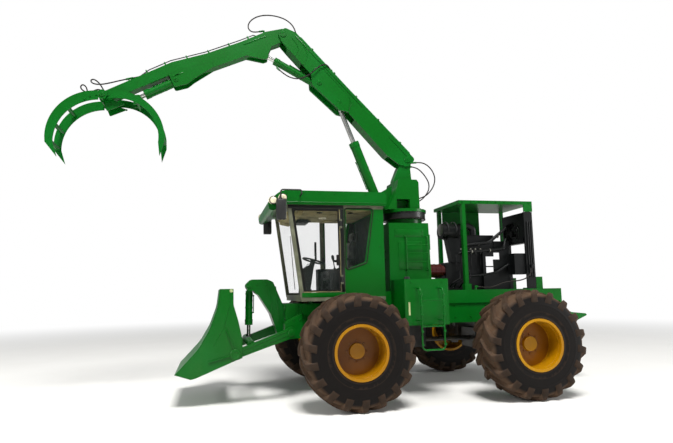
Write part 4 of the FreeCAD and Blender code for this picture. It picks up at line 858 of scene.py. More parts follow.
class Copies:
    """Repeats a small piece round an axis or along a line with Geometry Nodes."""

    INPUTS = (("Count", "NodeSocketInt"), ("Axis", "NodeSocketVector"), ("Turn", "NodeSocketFloat"),
              ("Centre", "NodeSocketVector"), ("Step", "NodeSocketVector"),
              ("Material", "NodeSocketMaterial"))

    def __init__(self) -> None:
        """Build the node tree."""
        self.tree = bpy.data.node_groups.new("Copies", "GeometryNodeTree")
        face = self.tree.interface
        face.new_socket("Geometry", in_out="INPUT", socket_type="NodeSocketGeometry")
        self.inputs = {name: face.new_socket(name, in_out="INPUT", socket_type=kind).identifier
                       for name, kind in self.INPUTS}
        face.new_socket("Geometry", in_out="OUTPUT", socket_type="NodeSocketGeometry")
        new = self.tree.nodes.new
        given, result = new("NodeGroupInput"), new("NodeGroupOutput")
        index, turn = new("GeometryNodeInputIndex"), new("FunctionNodeAxisAngleToRotation")
        carried, angle = new("FunctionNodeRotateVector"), new("ShaderNodeMath")
        shift, along, total = (new("ShaderNodeVectorMath") for _ in range(3))
        points, placed = new("GeometryNodePoints"), new("GeometryNodeInstanceOnPoints")
        real, painted = new("GeometryNodeRealizeInstances"), new("GeometryNodeSetMaterial")
        angle.operation = "MULTIPLY"
        shift.operation, along.operation, total.operation = "SUBTRACT", "SCALE", "ADD"
        for source, output, target, socket in (
                (index, 0, angle, 0), (given, "Turn", angle, 1), (given, "Axis", turn, "Axis"),
                (angle, 0, turn, "Angle"), (given, "Centre", carried, 0), (turn, 0, carried, 1),
                (given, "Centre", shift, 0), (carried, 0, shift, 1), (given, "Step", along, 0),
                (index, 0, along, "Scale"), (shift, 0, total, 0), (along, 0, total, 1),
                (given, "Count", points, "Count"), (total, 0, points, "Position"),
                (points, 0, placed, "Points"), (given, "Geometry", placed, "Instance"),
                (turn, 0, placed, "Rotation"), (placed, 0, real, 0), (real, 0, painted, "Geometry"),
                (given, "Material", painted, "Material"), (painted, 0, result, 0)):
            self.tree.links.new(source.outputs[output], target.inputs[socket])

    def make(self, first: bpy.types.Object, finish: Finish, count: int, axis: Point = LEFT,
             turn: float = 0.0, centre: Point = ORIGIN, step: Point = ORIGIN) -> bpy.types.Object:
        """Repeat an object.

        Args:
            first: The first of the row, in place. It becomes the whole row.
            finish: Finish of the copies.
            count: How many there are.
            axis: Axis that they are turned about.
            turn: Angle from one to the next.
            centre: Point on that axis.
            step: Distance from one to the next.

        Returns:
            The row as one plain mesh.
        """
        modifier = first.modifiers.new("Copies", "NODES")
        modifier.node_group = self.tree
        values = {"Count": count, "Axis": tuple(axis), "Turn": turn, "Centre": tuple(centre),
                  "Step": tuple(step), "Material": finish.material()}
        for name, value in values.items():
            modifier[self.inputs[name]] = value
        made = plain_mesh(first)
        first.modifiers.remove(modifier)
        first.data = made
        return first


COPIES = Copies()


# ---- hoses
@dataclass
class Hose:
    """A free hydraulic or coolant hose between two fittings."""

    node: str
    route: tuple[Point, ...]
    body: str
    far_body: str = ""
    start: Point = ORIGIN
    end: Point = ORIGIN
    radius: float = 0.011

    def line(self) -> list[Vector]:
        """Follow the smooth curve of the hose.

        Returns:
            Points along it.
        """
        curve = bpy.data.curves.new(self.node, "CURVE")
        curve.dimensions = "3D"
        curve.resolution_u = 16
        spline = curve.splines.new("NURBS")
        spline.points.add(len(self.route) - 1)
        for point, place in zip(spline.points, self.route):
            point.co = (*place, 1.0)
        spline.order_u = 3
        spline.use_endpoint_u = True
        holder = bpy.data.objects.new(self.node + "_line", curve)
        bpy.context.scene.collection.objects.link(holder)
        points = [v.co.copy() for v in plain_mesh(holder).vertices]
        bpy.data.objects.remove(holder)
        return points

    def build(self) -> bpy.types.Object:
        """Returns:
            The hose.
        """
        points = self.line()
        made = Shape().sweep(points, self.radius, 16).object("dressed_" + self.node, Finish.HOSE)
        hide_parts(self.node)
        if self.far_body:
            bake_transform(made)
        else:
            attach(made, self.body)
        return made


HOSES = (
    Hose("elbow_hose", ((0.565, 0, 6.575), (0.59, 0, 6.68), (0.655, 0, 6.79), (0.775, 0, 6.875),
                        (0.94, 0, 6.92), (1.13, 0, 6.925), (1.3, 0, 6.88), (1.425, 0, 6.79),
                        (1.48, 0, 6.68), (1.45, 0, 6.59), (1.365, 0, 6.56), (1.265, 0, 6.585)),
         "boom", "stick", (0.6, 0, 6.7), (1.45, 0, 6.7)),
    Hose("tower_hose_upper", ((-1.69, 0.112, 4.165), (-1.8, 0.112, 4.175), (-1.93, 0.105, 4.12),
                              (-2.03, 0.09, 4.015), (-2.08, 0.078, 3.885), (-2.055, 0.07, 3.745),
                              (-1.97, 0.065, 3.615), (-1.86, 0.06, 3.52), (-1.73, 0.06, 3.48)),
         "boom", "tower", (-1.9, 0.1, 4.15), (-1.9, 0.07, 3.55)),
    Hose("tower_hose_lower", ((-1.69, -0.112, 4.14), (-1.785, -0.112, 4.13), (-1.89, -0.105, 4.05),
                              (-1.975, -0.09, 3.93), (-2.025, -0.078, 3.81), (-2.01, -0.07, 3.68),
                              (-1.93, -0.065, 3.56), (-1.83, -0.06, 3.47), (-1.73, -0.06, 3.42)),
         "boom", "tower", (-1.9, -0.1, 4.1), (-1.9, -0.07, 3.5)),
    Hose("grab_hose_inner", ((3.59, 0.06, 5.475), (3.69, 0.062, 5.445), (3.82, 0.065, 5.4),
                             (3.95, 0.07, 5.36), (4.06, 0.075, 5.345), (4.14, 0.085, 5.365),
                             (4.15, 0.1, 5.41), (4.09, 0.115, 5.42), (4.02, 0.108, 5.37),
                             (3.97, 0.092, 5.3), (3.935, 0.078, 5.235)), "stick"),
    Hose("grab_hose_outer", ((3.96, 0.045, 5.235), (4.015, 0.05, 5.275), (4.08, 0.065, 5.25),
                             (4.135, 0.085, 5.2), (4.2, 0.11, 5.18), (4.27, 0.13, 5.205),
                             (4.3, 0.15, 5.255), (4.26, 0.168, 5.295), (4.205, 0.178, 5.26),
                             (4.18, 0.18, 5.195), (4.172, 0.18, 5.13)),
         "stick", "jaw_front", (4.1, 0.1, 5.25), (4.18, 0.18, 5.16)),
    Hose("reach_hose", ((-0.04, 0.1, 5.916), (0.021, 0.15, 5.982), (0.14, 0.18, 5.935),
                        (0.235, 0.2, 5.85), (0.33, 0.195, 5.76), (0.44, 0.17, 5.69),
                        (0.56, 0.14, 5.655), (0.69, 0.105, 5.68), (0.81, 0.07, 5.755),
                        (0.9, 0.035, 5.85)),
         "boom", "reach_barrel", (0.1, 0.18, 5.95), (0.86, 0.05, 5.8)),
    Hose("engine_hose", ((-2.59, 0.545, 1.79), (-2.7, 0.57, 1.778), (-2.83, 0.585, 1.774),
                         (-2.95, 0.585, 1.81), (-3.08, 0.58, 1.86), (-3.25, 0.575, 1.88),
                         (-3.42, 0.57, 1.892), (-3.57, 0.565, 1.935), (-3.67, 0.56, 2.02),
                         (-3.7, 0.552, 2.13)), "chassis"),
)


# ---- wheels
@dataclass
class Tyre:
    """Tractor tyre with a smooth carcass and bars that run from its middle to its shoulder."""

    node: str
    body: str
    lugs: int = 18
    tread_half: float = 0.262
    tread_radius: float = 0.845
    sweep: float = 0.25
    curl: float = 0.88
    half_in: float = 0.036
    half_out: float = 0.046
    draft: float = 0.012
    carcass: tuple[Point, ...] = (
        (0.272, 0.382), (0.283, 0.394), (0.285, 0.405), (0.2905, 0.412), (0.2935, 0.425),
        (0.2935, 0.438), (0.2885, 0.446), (0.2915, 0.47), (0.2945, 0.505), (0.2955, 0.512),
        (0.2952, 0.52), (0.2955, 0.55), (0.2945, 0.59), (0.2925, 0.62), (0.2935, 0.626),
        (0.2905, 0.634), (0.2865, 0.67), (0.2805, 0.705), (0.272, 0.735), (0.2605, 0.762),
        (0.245, 0.783), (0.222, 0.797), (0.18, 0.806), (0.12, 0.8125), (0.06, 0.8165),
        (0.0, 0.818))
    tops: tuple[Point, ...] = (
        (0.006, 0.863), (0.06, 0.8648), (0.12, 0.8628), (0.175, 0.859), (0.225, 0.8535),
        (0.254, 0.847), (0.266, 0.836), (0.2745, 0.812), (0.2825, 0.775), (0.2895, 0.738),
        (0.2945, 0.706), (0.2955, 0.69))
    feet: tuple[Point, ...] = (
        (0.006, 0.812), (0.06, 0.81), (0.12, 0.807), (0.175, 0.8), (0.222, 0.79), (0.242, 0.779),
        (0.252, 0.768), (0.262, 0.75), (0.271, 0.727), (0.279, 0.703), (0.285, 0.68),
        (0.2875, 0.668))
    bead: Rows = ((0.262, 0.383), (-0.262, 0.383))
    tread_start: float = 0.735
    tread_fade: float = 0.05
    ridges: Rows = ((0.405, 0.44), (0.505, 0.515))
    clean: float = 0.03
    ridge_dust: float = 0.15
    tread_dust: float = 0.85
    lips: Rows = ((0.2915, 0.4005, 0.0072), (0.236, 0.3665, 0.005))
    # Radii where the sheet of painted shade is laid in the rim's recess, and that sheet's half
    # thickness.
    dish: Point = (0.125, 0.17, 0.22, 0.27, 0.32, 0.35)
    film: float = 0.002
    hub_bolts: int = 8
    bolt_circle: float = 0.155

    @cached_property
    def centre(self) -> Vector:
        """Middle of the tyre."""
        low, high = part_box(self.node)
        return (low + high) / 2

    def around(self, across: float, radius: float, angle: float) -> Vector:
        """Point of the tyre, from its half width, radius and angle forward from the top."""
        return self.centre + Vector((radius * math.sin(angle), across, radius * math.cos(angle)))

    def shell(self) -> bpy.types.Object:
        """Make the carcass.

        Returns:
            The carcass.
        """
        shape = Shape()
        half = [Vector((w, r)) for w, r in self.carcass]
        profile = [(-w, r) for w, r in half] + [(w, r) for w, r in reversed(half[:-1])]
        shape.lathe([*profile, *self.bead, profile[0]], self.centre, LEFT, 128)
        dust = shape.bm.verts.layers.float.new("dust")
        for vert in shape.bm.verts:
            away = vert.co - self.centre
            radius = math.hypot(away.x, away.z)
            tread = min(max((radius - self.tread_start) / self.tread_fade, 0.0), 1.0)
            ridge = any(low < radius < high for low, high in self.ridges)
            vert[dust] = self.clean + self.ridge_dust * ridge + self.tread_dust * tread
        return shape.object(self.node + "_shell", Finish.TYRE, 1.2)

    def bar(self, hand: int) -> bpy.types.Object:
        """Make one bar.

        Args:
            hand: 1 for a bar left of the middle and -1 for one right of it.

        Returns:
            The bar.
        """
        shape = Shape()
        dust = shape.bm.verts.layers.float.new("dust")
        pitch = 2 * math.pi / self.lugs
        offset = pitch / 4 * hand
        rings = []
        for (wide, high), (foot_wide, foot_high) in zip(self.tops, self.feet):
            share = min(wide / self.tread_half, 1.12)
            angle = offset + self.sweep / self.tread_radius * (share ** self.curl)
            half = self.half_in + (self.half_out - self.half_in) * min(share, 1.0)
            lower = 0.006 if wide < 0.27 else 0.003
            stations = [(foot_wide, foot_high, -half - self.draft, 0.8),
                        (wide - 0.001, high - lower, -half, 0.62),
                        (wide, high, -half + 0.006, 0.5), (wide, high, half - 0.006, 0.5),
                        (wide - 0.001, high - lower, half, 0.62),
                        (foot_wide, foot_high, half + self.draft, 0.8)]
            ring = []
            for across, radius, shift, dusty in stations:
                place = self.around(across * hand, radius, angle + shift / radius)
                vert = shape.bm.verts.new(place)
                vert[dust] = dusty if wide < 0.28 else 0.3
                ring.append(vert)
            rings.append(ring)
        for first, second in zip(rings, rings[1:]):
            for i in range(5):
                shape.bm.faces.new((first[i], first[i + 1], second[i + 1], second[i]))
        for ring in (rings[0], rings[-1]):
            shape.bm.faces.new(ring)
        if hand > 0:
            bmesh.ops.reverse_faces(shape.bm, faces=shape.bm.faces[:])
        bmesh.ops.recalc_face_normals(shape.bm, faces=shape.bm.faces[:])
        return shape.object(f"{self.node}_bar", Finish.TYRE, 0.9)

    def build(self) -> None:
        """Make the tyre in place of its plain solid."""
        rows = []
        for hand in SIDES:
            rows.append(COPIES.make(self.bar(hand), Finish.TYRE, self.lugs, LEFT,
                                    2 * math.pi / self.lugs, self.centre))
        made = joined("dressed_" + self.node, [self.shell(), *rows])
        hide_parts(self.node)
        mount(made, self.body)

    def dress(self) -> None:
        """Add the rolled lips, a thin darker sheet of painted shade over the rim's recessed centre,
        and the hub bolts to the rim.
        """
        side = 1 if self.centre.y > 0 else -1
        centre, inward = self.centre, (0, -side, 0)
        lip = Shape()
        for out, radius, thickness in self.lips:
            lip.ring(centre + Vector((0, side * out, 0)), LEFT, radius, thickness, 128)
        lip.piece(f"lip_{self.body}", Finish.WHEEL_YELLOW, self.body, angle=1.2)
        # A thin darker sheet that follows the rim's recessed face just above it: painted shade of the
        # recess.
        dish = []
        for radius in self.dish:
            found = SOLIDS.hit(centre + Vector((radius, side * 0.5, 0)), inward)
            if found:
                dish.append(((found.y - centre.y) * side, radius))
        outer = [(y + self.film, r) for y, r in dish]
        inner = [(y - self.film, r) for y, r in reversed(dish)]
        film = Shape().lathe([*outer, *inner, outer[0]], centre, (0, side, 0), 96)
        for i in range(self.hub_bolts):
            turn = 2 * math.pi * i / self.hub_bolts
            start = centre + Vector((self.bolt_circle * math.cos(turn), side * 0.5,
                                     self.bolt_circle * math.sin(turn)))
            SOLIDS.bolts(film, [start], inward, 0.012)
        film.piece(f"dish_{self.body}", Finish.WHEEL_SHADE, self.body)


def joined(name: str, parts: Sequence[bpy.types.Object]) -> bpy.types.Object:
    """Join finished objects into one mesh.

    Args:
        name: Name of the result.
        parts: The objects, which are used up.

    Returns:
        The joined object.
    """
    whole = bmesh.new()
    materials = list(dict.fromkeys(m for p in parts for m in p.data.materials))
    for part in parts:
        before = len(whole.faces)
        whole.from_mesh(part.data)
        whole.faces.ensure_lookup_table()
        slots = [materials.index(m) for m in part.data.materials]
        for face in whole.faces[before:]:
            face.material_index = slots[face.material_index]
    mesh = bpy.data.meshes.new(name)
    whole.to_mesh(mesh)
    whole.free()
    for material in materials:
        mesh.materials.append(material)
    for part in parts:
        bpy.data.objects.remove(part)
    made = bpy.data.objects.new(name, mesh)
    bpy.context.scene.collection.objects.link(made)
    return made


# ---- arms
@dataclass(frozen=True)
class Arm:
    """Axis of the boom or the stick, along which its parts are placed."""

    start: Point
    angle: float

    def at(self, along: float, above: float, across: float = 0.0) -> Vector:
        """Point of the arm, along its axis, above it and to its left."""
        c, s = math.cos(math.radians(self.angle)), math.sin(math.radians(self.angle))
        return Vector((self.start[0] + along * c - above * s, across,
                       self.start[1] + along * s + above * c))

    def flat(self, points: Sequence[Point]) -> list[tuple[float, float]]:
        """Outline of the arm turned into X and Z."""
        return [(p.x, p.z) for p in (self.at(*point) for point in points)]

    def oblong(self, along: Point, above: Point) -> list[tuple[float, float]]:
        """Outline of an oblong, from its two places along the arm and its two heights."""
        return self.flat([(along[0], above[0]), (along[1], above[0]), (along[1], above[1]),
                          (along[0], above[1])])

    @property
    def up(self) -> Vector:
        """Direction square to the arm."""
        return (self.at(0, 1) - self.at(0, 0)).normalized()


BOOM = Arm((-1.51, 4.215), 44.32)
ELBOW = BOOM.at(3.285, 0.0)
STICK = Arm((ELBOW.x, ELBOW.z), -24.37)
JAW_PIN = STICK.at(3.392, 0.0)
LIFT_FOOT = Vector((-0.92, 0, 3.44))
LIFT_EYE = BOOM.at(1.659, -0.155)
REACH_FOOT = BOOM.at(2.176, -0.179)
GRAB_FOOT = STICK.at(2.15, -0.12)
BLADE_FOOT = Vector((1.48, 0, 1.86))


@dataclass
class Plumbing:
    """Pipes with their clamps along the boom and the stick, and the ridges on their sides."""

    pipe: float = 0.0125
    lift: float = 0.024
    bend: float = 0.06
    boom_line: Rows = ((1.802, 0.151), (2.8, 0.189), (3.02, 0.198))
    boom_across: Point = (0.052, 0.088)
    clamps: int = 5
    clamp_first: float = 0.32
    clamp_pitch: float = 0.6
    clamp_half: float = 0.02
    boom_side: float = 0.126
    boom_ridges: Rows = (
        ((1.3, 0.095), (2.35, 0.12), (3.1, 0.145), (3.1, 0.157), (2.35, 0.132), (1.3, 0.107)),
        ((0.0, 0.03), (0.55, 0.055), (0.55, 0.067), (0.0, 0.045)))
    boom_welds: Rows = (
        ((2.42, -0.15), (2.44, -0.02), (2.36, 0.06), (2.2, 0.075), (1.6, 0.05), (1.5, 0.0),
         (1.42, -0.17)),
        ((2.62, -0.15), (2.66, 0.0), (2.75, 0.09), (2.9, 0.13), (3.1, 0.14)),
        ((2.84, -0.14), (2.88, 0.0), (2.96, 0.05), (3.12, 0.07)))
    weld_side: float = 0.1265
    weld: float = 0.005
    stick_line: Rows = ((0.776, 0.136), (1.449, 0.141), (2.087, 0.2), (2.5, 0.17))
    stick_end: Rows = ((3.36, 0.055, 5.545), (3.5, 0.06, 5.502))
    stick_lift: float = 0.052
    stick_pipe: float = 0.009
    posts: Rows = ((0.62, 0.143), (1.0, 0.137), (1.4, 0.14), (1.8, 0.173), (2.2, 0.192),
                   (2.55, 0.165))
    post_half: float = 0.012
    post_past: float = 0.016
    stick_ridge: Rows = ((0.3, 0.07), (0.76, 0.062), (0.76, 0.078), (0.3, 0.088))
    stick_plates: Point = (1.98, 2.06)

    def boom_top(self, along: float) -> float:
        """Height of the boom's top over its axis."""
        return 0.119 + 0.0198 * (along - 0.1) + max(0.0, along - 1.8) * 0.017

    def clamp(self, shape: Shape, along: float) -> None:
        """Add a saddle clamp with its bolt over the boom's pipes.

        Args:
            shape: The shape to add to.
            along: Its place along the boom.
        """
        above = self.boom_top(along)
        low, high = min(self.boom_across) - 0.022, max(self.boom_across) + 0.022
        top = above + self.lift + self.pipe + 0.006
        outline = BOOM.oblong((along - self.clamp_half, along + self.clamp_half),
                              (above - 0.004, top))
        shape.prism(outline, low, high)
        shape.bolt(BOOM.at(along, top, (low + high) / 2), BOOM.up, 0.007)

    def boom(self) -> None:
        """Make the boom's pipes, which bend round its root, and their clamps."""
        pipes, clamps = Shape(), Shape()
        for across in self.boom_across:
            run = [BOOM.at(0.02, 0.118, across), BOOM.at(0.06, 0.119 + self.lift, across)]
            run += [BOOM.at(a, h + self.lift, across) for a, h in self.boom_line]
            run.append(BOOM.at(3.08, 0.186, across))
            pipes.pipe(run, self.pipe, self.bend, 12)
        for i in range(self.clamps):
            self.clamp(clamps, self.clamp_first + i * self.clamp_pitch)
        pipes.piece("boom_pipes", Finish.PIPE_GREEN, "boom")
        clamps.piece("boom_clamps", Finish.GREEN, "boom")

    def side(self) -> None:
        """Make the ridges and weld beads on the boom's sides."""
        ridges, beads = Shape(), Shape()
        for sign in SIDES:
            y = sign * self.boom_side
            low, high = sorted((y - sign * 0.004, y + sign * 0.007))
            for outline in self.boom_ridges:
                ridges.prism(BOOM.flat(outline), low, high, "Y", 0.002)
            for curve in self.boom_welds:
                beads.pipe([BOOM.at(a, h, sign * self.weld_side) for a, h in curve], self.weld,
                           self.bend, 8)
        ridges.piece("boom_ridges", Finish.GREEN, "boom")
        beads.piece("boom_welds", Finish.GREEN, "boom")

    def stick(self) -> None:
        """Make the stick's raised pipe, its posts and the ridges on its sides."""
        high = self.stick_lift
        run = [STICK.at(0.42, 0.155, 0.0), STICK.at(0.5, 0.152 + high, 0.03)]
        run += [STICK.at(a, h + high, 0.045) for a, h in self.stick_line]
        run += [Vector(point) for point in self.stick_end]
        Shape().pipe(run, self.stick_pipe, 0.05, 12).piece(
            "stick_pipe", Finish.BLACK_PLASTIC, "stick")
        posts = Shape()
        for along, above in self.posts:
            top = above + high + self.post_past
            outline = STICK.oblong((along - self.post_half, along + self.post_half),
                                   (above - 0.03, top))
            posts.prism(outline, 0.03, 0.06)
            posts.bolt(STICK.at(along, top, 0.045), STICK.up, 0.006)
        for sign in SIDES:
            posts.prism(STICK.flat(self.stick_ridge), *sorted((sign * 0.089, sign * 0.099)), "Y",
                        0.002)
            for along in self.stick_plates:
                outline = STICK.flat(((along, -0.06), (along + 0.16, -0.055),
                                      (along + 0.16, -0.035), (along, -0.04)))
                posts.prism(outline, *sorted((sign * 0.1, sign * 0.106)), "Y", 0.002)
        posts.piece("stick_clamps", Finish.GREEN, "stick")

    def build(self) -> None:
        """Make all of it."""
        self.boom()
        self.side()
        self.stick()


@dataclass(frozen=True)
class Ram:
    """Hydraulic cylinder to dress: its body, where it starts and points, and its barrel's size."""

    name: str
    body: str
    base: Vector
    eye: Vector
    radius: float
    length: float
    pipe_side: float = 1.0
    grip: float = 0.002
    port: float = 0.017
    port_height: float = 0.03
    stand_off: float = 0.017
    pipe: float = 0.008

    def band(self, shape: Shape, start: float, stop: float, rise: float) -> None:
        """Add a band round the barrel, between two places along it."""
        shape.band(self.base, (self.eye - self.base).normalized(), start, stop,
                   self.radius - self.grip, self.radius + rise)

    def build(self) -> None:
        """Make the bands, the ports and the pipe along the barrel."""
        axis = (self.eye - self.base).normalized()
        side = Vector((0, 1, 0)).cross(axis).normalized() * self.pipe_side
        end = self.length
        shape = Shape()
        self.band(shape, end - 0.07, end - 0.028, 0.007)
        self.band(shape, end - 0.02, end - 0.006, 0.003)
        start, stop = end * 0.24, end * 0.7
        for place in (start, stop):
            foot = self.base + axis * place + side * (self.radius - 0.004)
            shape.rod(foot, foot + side * self.port_height, self.port, 0.002, 6)
        run = ((start, 0.0), (start, self.stand_off), (stop, self.stand_off), (stop, 0.0))
        shape.pipe([self.base + axis * place + side * (self.radius + out) for place, out in run],
                   self.pipe, 0.02, 10)
        for share in (0.38, 0.56):
            self.band(shape, end * share - 0.012, end * share + 0.012, 0.003)
        shape.piece(f"{self.name}_gland", Finish.GREEN, self.body)


RAMS = (
    Ram("lift", "lift_barrel", LIFT_FOOT, LIFT_EYE, 0.088, 1.15),
    Ram("reach", "reach_barrel", REACH_FOOT, STICK.at(0.43, -0.245), 0.065, 0.9, -1.0),
    Ram("grab", "grab_barrel", GRAB_FOOT, JAW_PIN + Vector((-0.536, 0, 0.061)), 0.076, 0.57, -1.0),
    Ram("blade", "blade_barrel", BLADE_FOOT, Vector((1.5, 0, 0.93)), 0.062, 0.63),
)


@dataclass
class Pins:
    """Collars, keeper plates and bolts at the ends of the pins: name, body, place, half length
    and radius."""

    places: tuple[tuple[str, str, Vector, float, float], ...] = (
        ("boom_pin", "boom", BOOM.at(0.0, 0.0), 0.137, 0.045),
        ("elbow_pin", "boom", ELBOW, 0.137, 0.045),
        ("reach_pin", "boom", REACH_FOOT, 0.157, 0.03),
        ("lift_pin", "boom", LIFT_EYE, 0.145, 0.035),
        ("grab_pin", "stick", GRAB_FOOT, 0.112, 0.026),
        ("jaw_pin", "stick", JAW_PIN, 0.267, 0.03),
        ("lift_foot", "tower", LIFT_FOOT, 0.123, 0.035),
        ("push_pin", "chassis", Vector((0.86, 0, 1.1)), 0.765, 0.04),
        ("arch_pin", "chassis", BLADE_FOOT, 0.17, 0.028),
    )

    def build(self) -> None:
        """Make them on both sides."""
        for name, body, centre, out, radius in self.places:
            shape = Shape()
            for sign in SIDES:
                axis = Vector((0, sign, 0))
                base = centre + axis * out
                keeper = base + Vector((radius + 0.006, 0, 0))
                shape.lathe([(-0.012, radius + 0.016), (-0.002, radius + 0.016),
                             (0.002, radius + 0.012), (0.002, radius), (0.006, radius - 0.004),
                             (0.006, 0.012), (0.004, 0.0)], base, axis, 32)
                shape.bolt(base + axis * 0.005, axis, 0.009)
                shape.rod(keeper - axis * 0.006, keeper + axis * 0.01, 0.008, 0.001, 6)
            shape.piece(name + "_caps", Finish.GREEN, body)


# ---- cab
@dataclass
class Cushion:
    """Stuffed seat part, swollen by a cloth simulation."""

    name: str
    low: Point
    high: Point
    lean: float = 0.0
    crown: float = 0.03
    inset: Point = (0.012, 0.012, 0.008)
    edge: float = 0.03
    voxel: float = 0.006
    cap: float = 0.022
    pressure: float = 4.0
    frames: int = 20
    fill: float = 0.7

    def block(self) -> bpy.types.Object:
        """Make the smaller block that the cushion swells from.

        Returns:
            The block.
        """
        low, high, inset = Vector(self.low), Vector(self.high), Vector(self.inset)
        shape = Shape().box(low + inset, high - inset, self.edge, 4)
        middle = (low + high) / 2
        for vert in shape.bm.verts:
            away = vert.co - middle
            wide = away.y / (high.y - low.y) * 2
            if self.lean:
                vert.co.x += self.crown * wide * wide * 0.8
            elif away.z > 0:
                vert.co.z += self.crown * 0.6 * wide * wide
        turn = Matrix.Rotation(self.lean, 4, "Y")
        shape.moved(Matrix.Translation(middle) @ turn @ Matrix.Translation(-middle))
        return shape.object(self.name, Finish.CLOTH, 1.6)

    def swell(self, made: bpy.types.Object) -> None:
        """Blow the block up as stitched cloth, by no more than the cap.

        Args:
            made: The block.
        """
        remesh = made.modifiers.new("even", "REMESH")
        remesh.mode, remesh.voxel_size = "VOXEL", self.voxel
        made.data = self.applied(made)
        before = [v.co.copy() for v in made.data.vertices]
        cloth = made.modifiers.new("cloth", "CLOTH")
        cloth.settings.use_pressure = True
        cloth.settings.uniform_pressure_force = self.pressure
        cloth.settings.effector_weights.gravity = 0.0
        cloth.point_cache.frame_start, cloth.point_cache.frame_end = 1, self.frames
        for number in range(1, self.frames + 1):
            bpy.context.scene.frame_set(number)
        mesh = self.applied(made)
        for vert, home in zip(mesh.vertices, before):
            move = vert.co - home
            if move.length > self.cap:
                vert.co = home + move.normalized() * self.cap
        made.data = mesh
        bpy.context.scene.frame_set(1)

    def applied(self, made: bpy.types.Object) -> bpy.types.Mesh:
        """Take an object's modifiers off.

        Args:
            made: The object.

        Returns:
            The smooth mesh that they made.
        """
        mesh = plain_mesh(made)
        made.modifiers.clear()
        for face in mesh.polygons:
            face.use_smooth = True
        return mesh

    def build(self) -> None:
        made = self.block()
        self.swell(made)
        mount(made, "chassis")


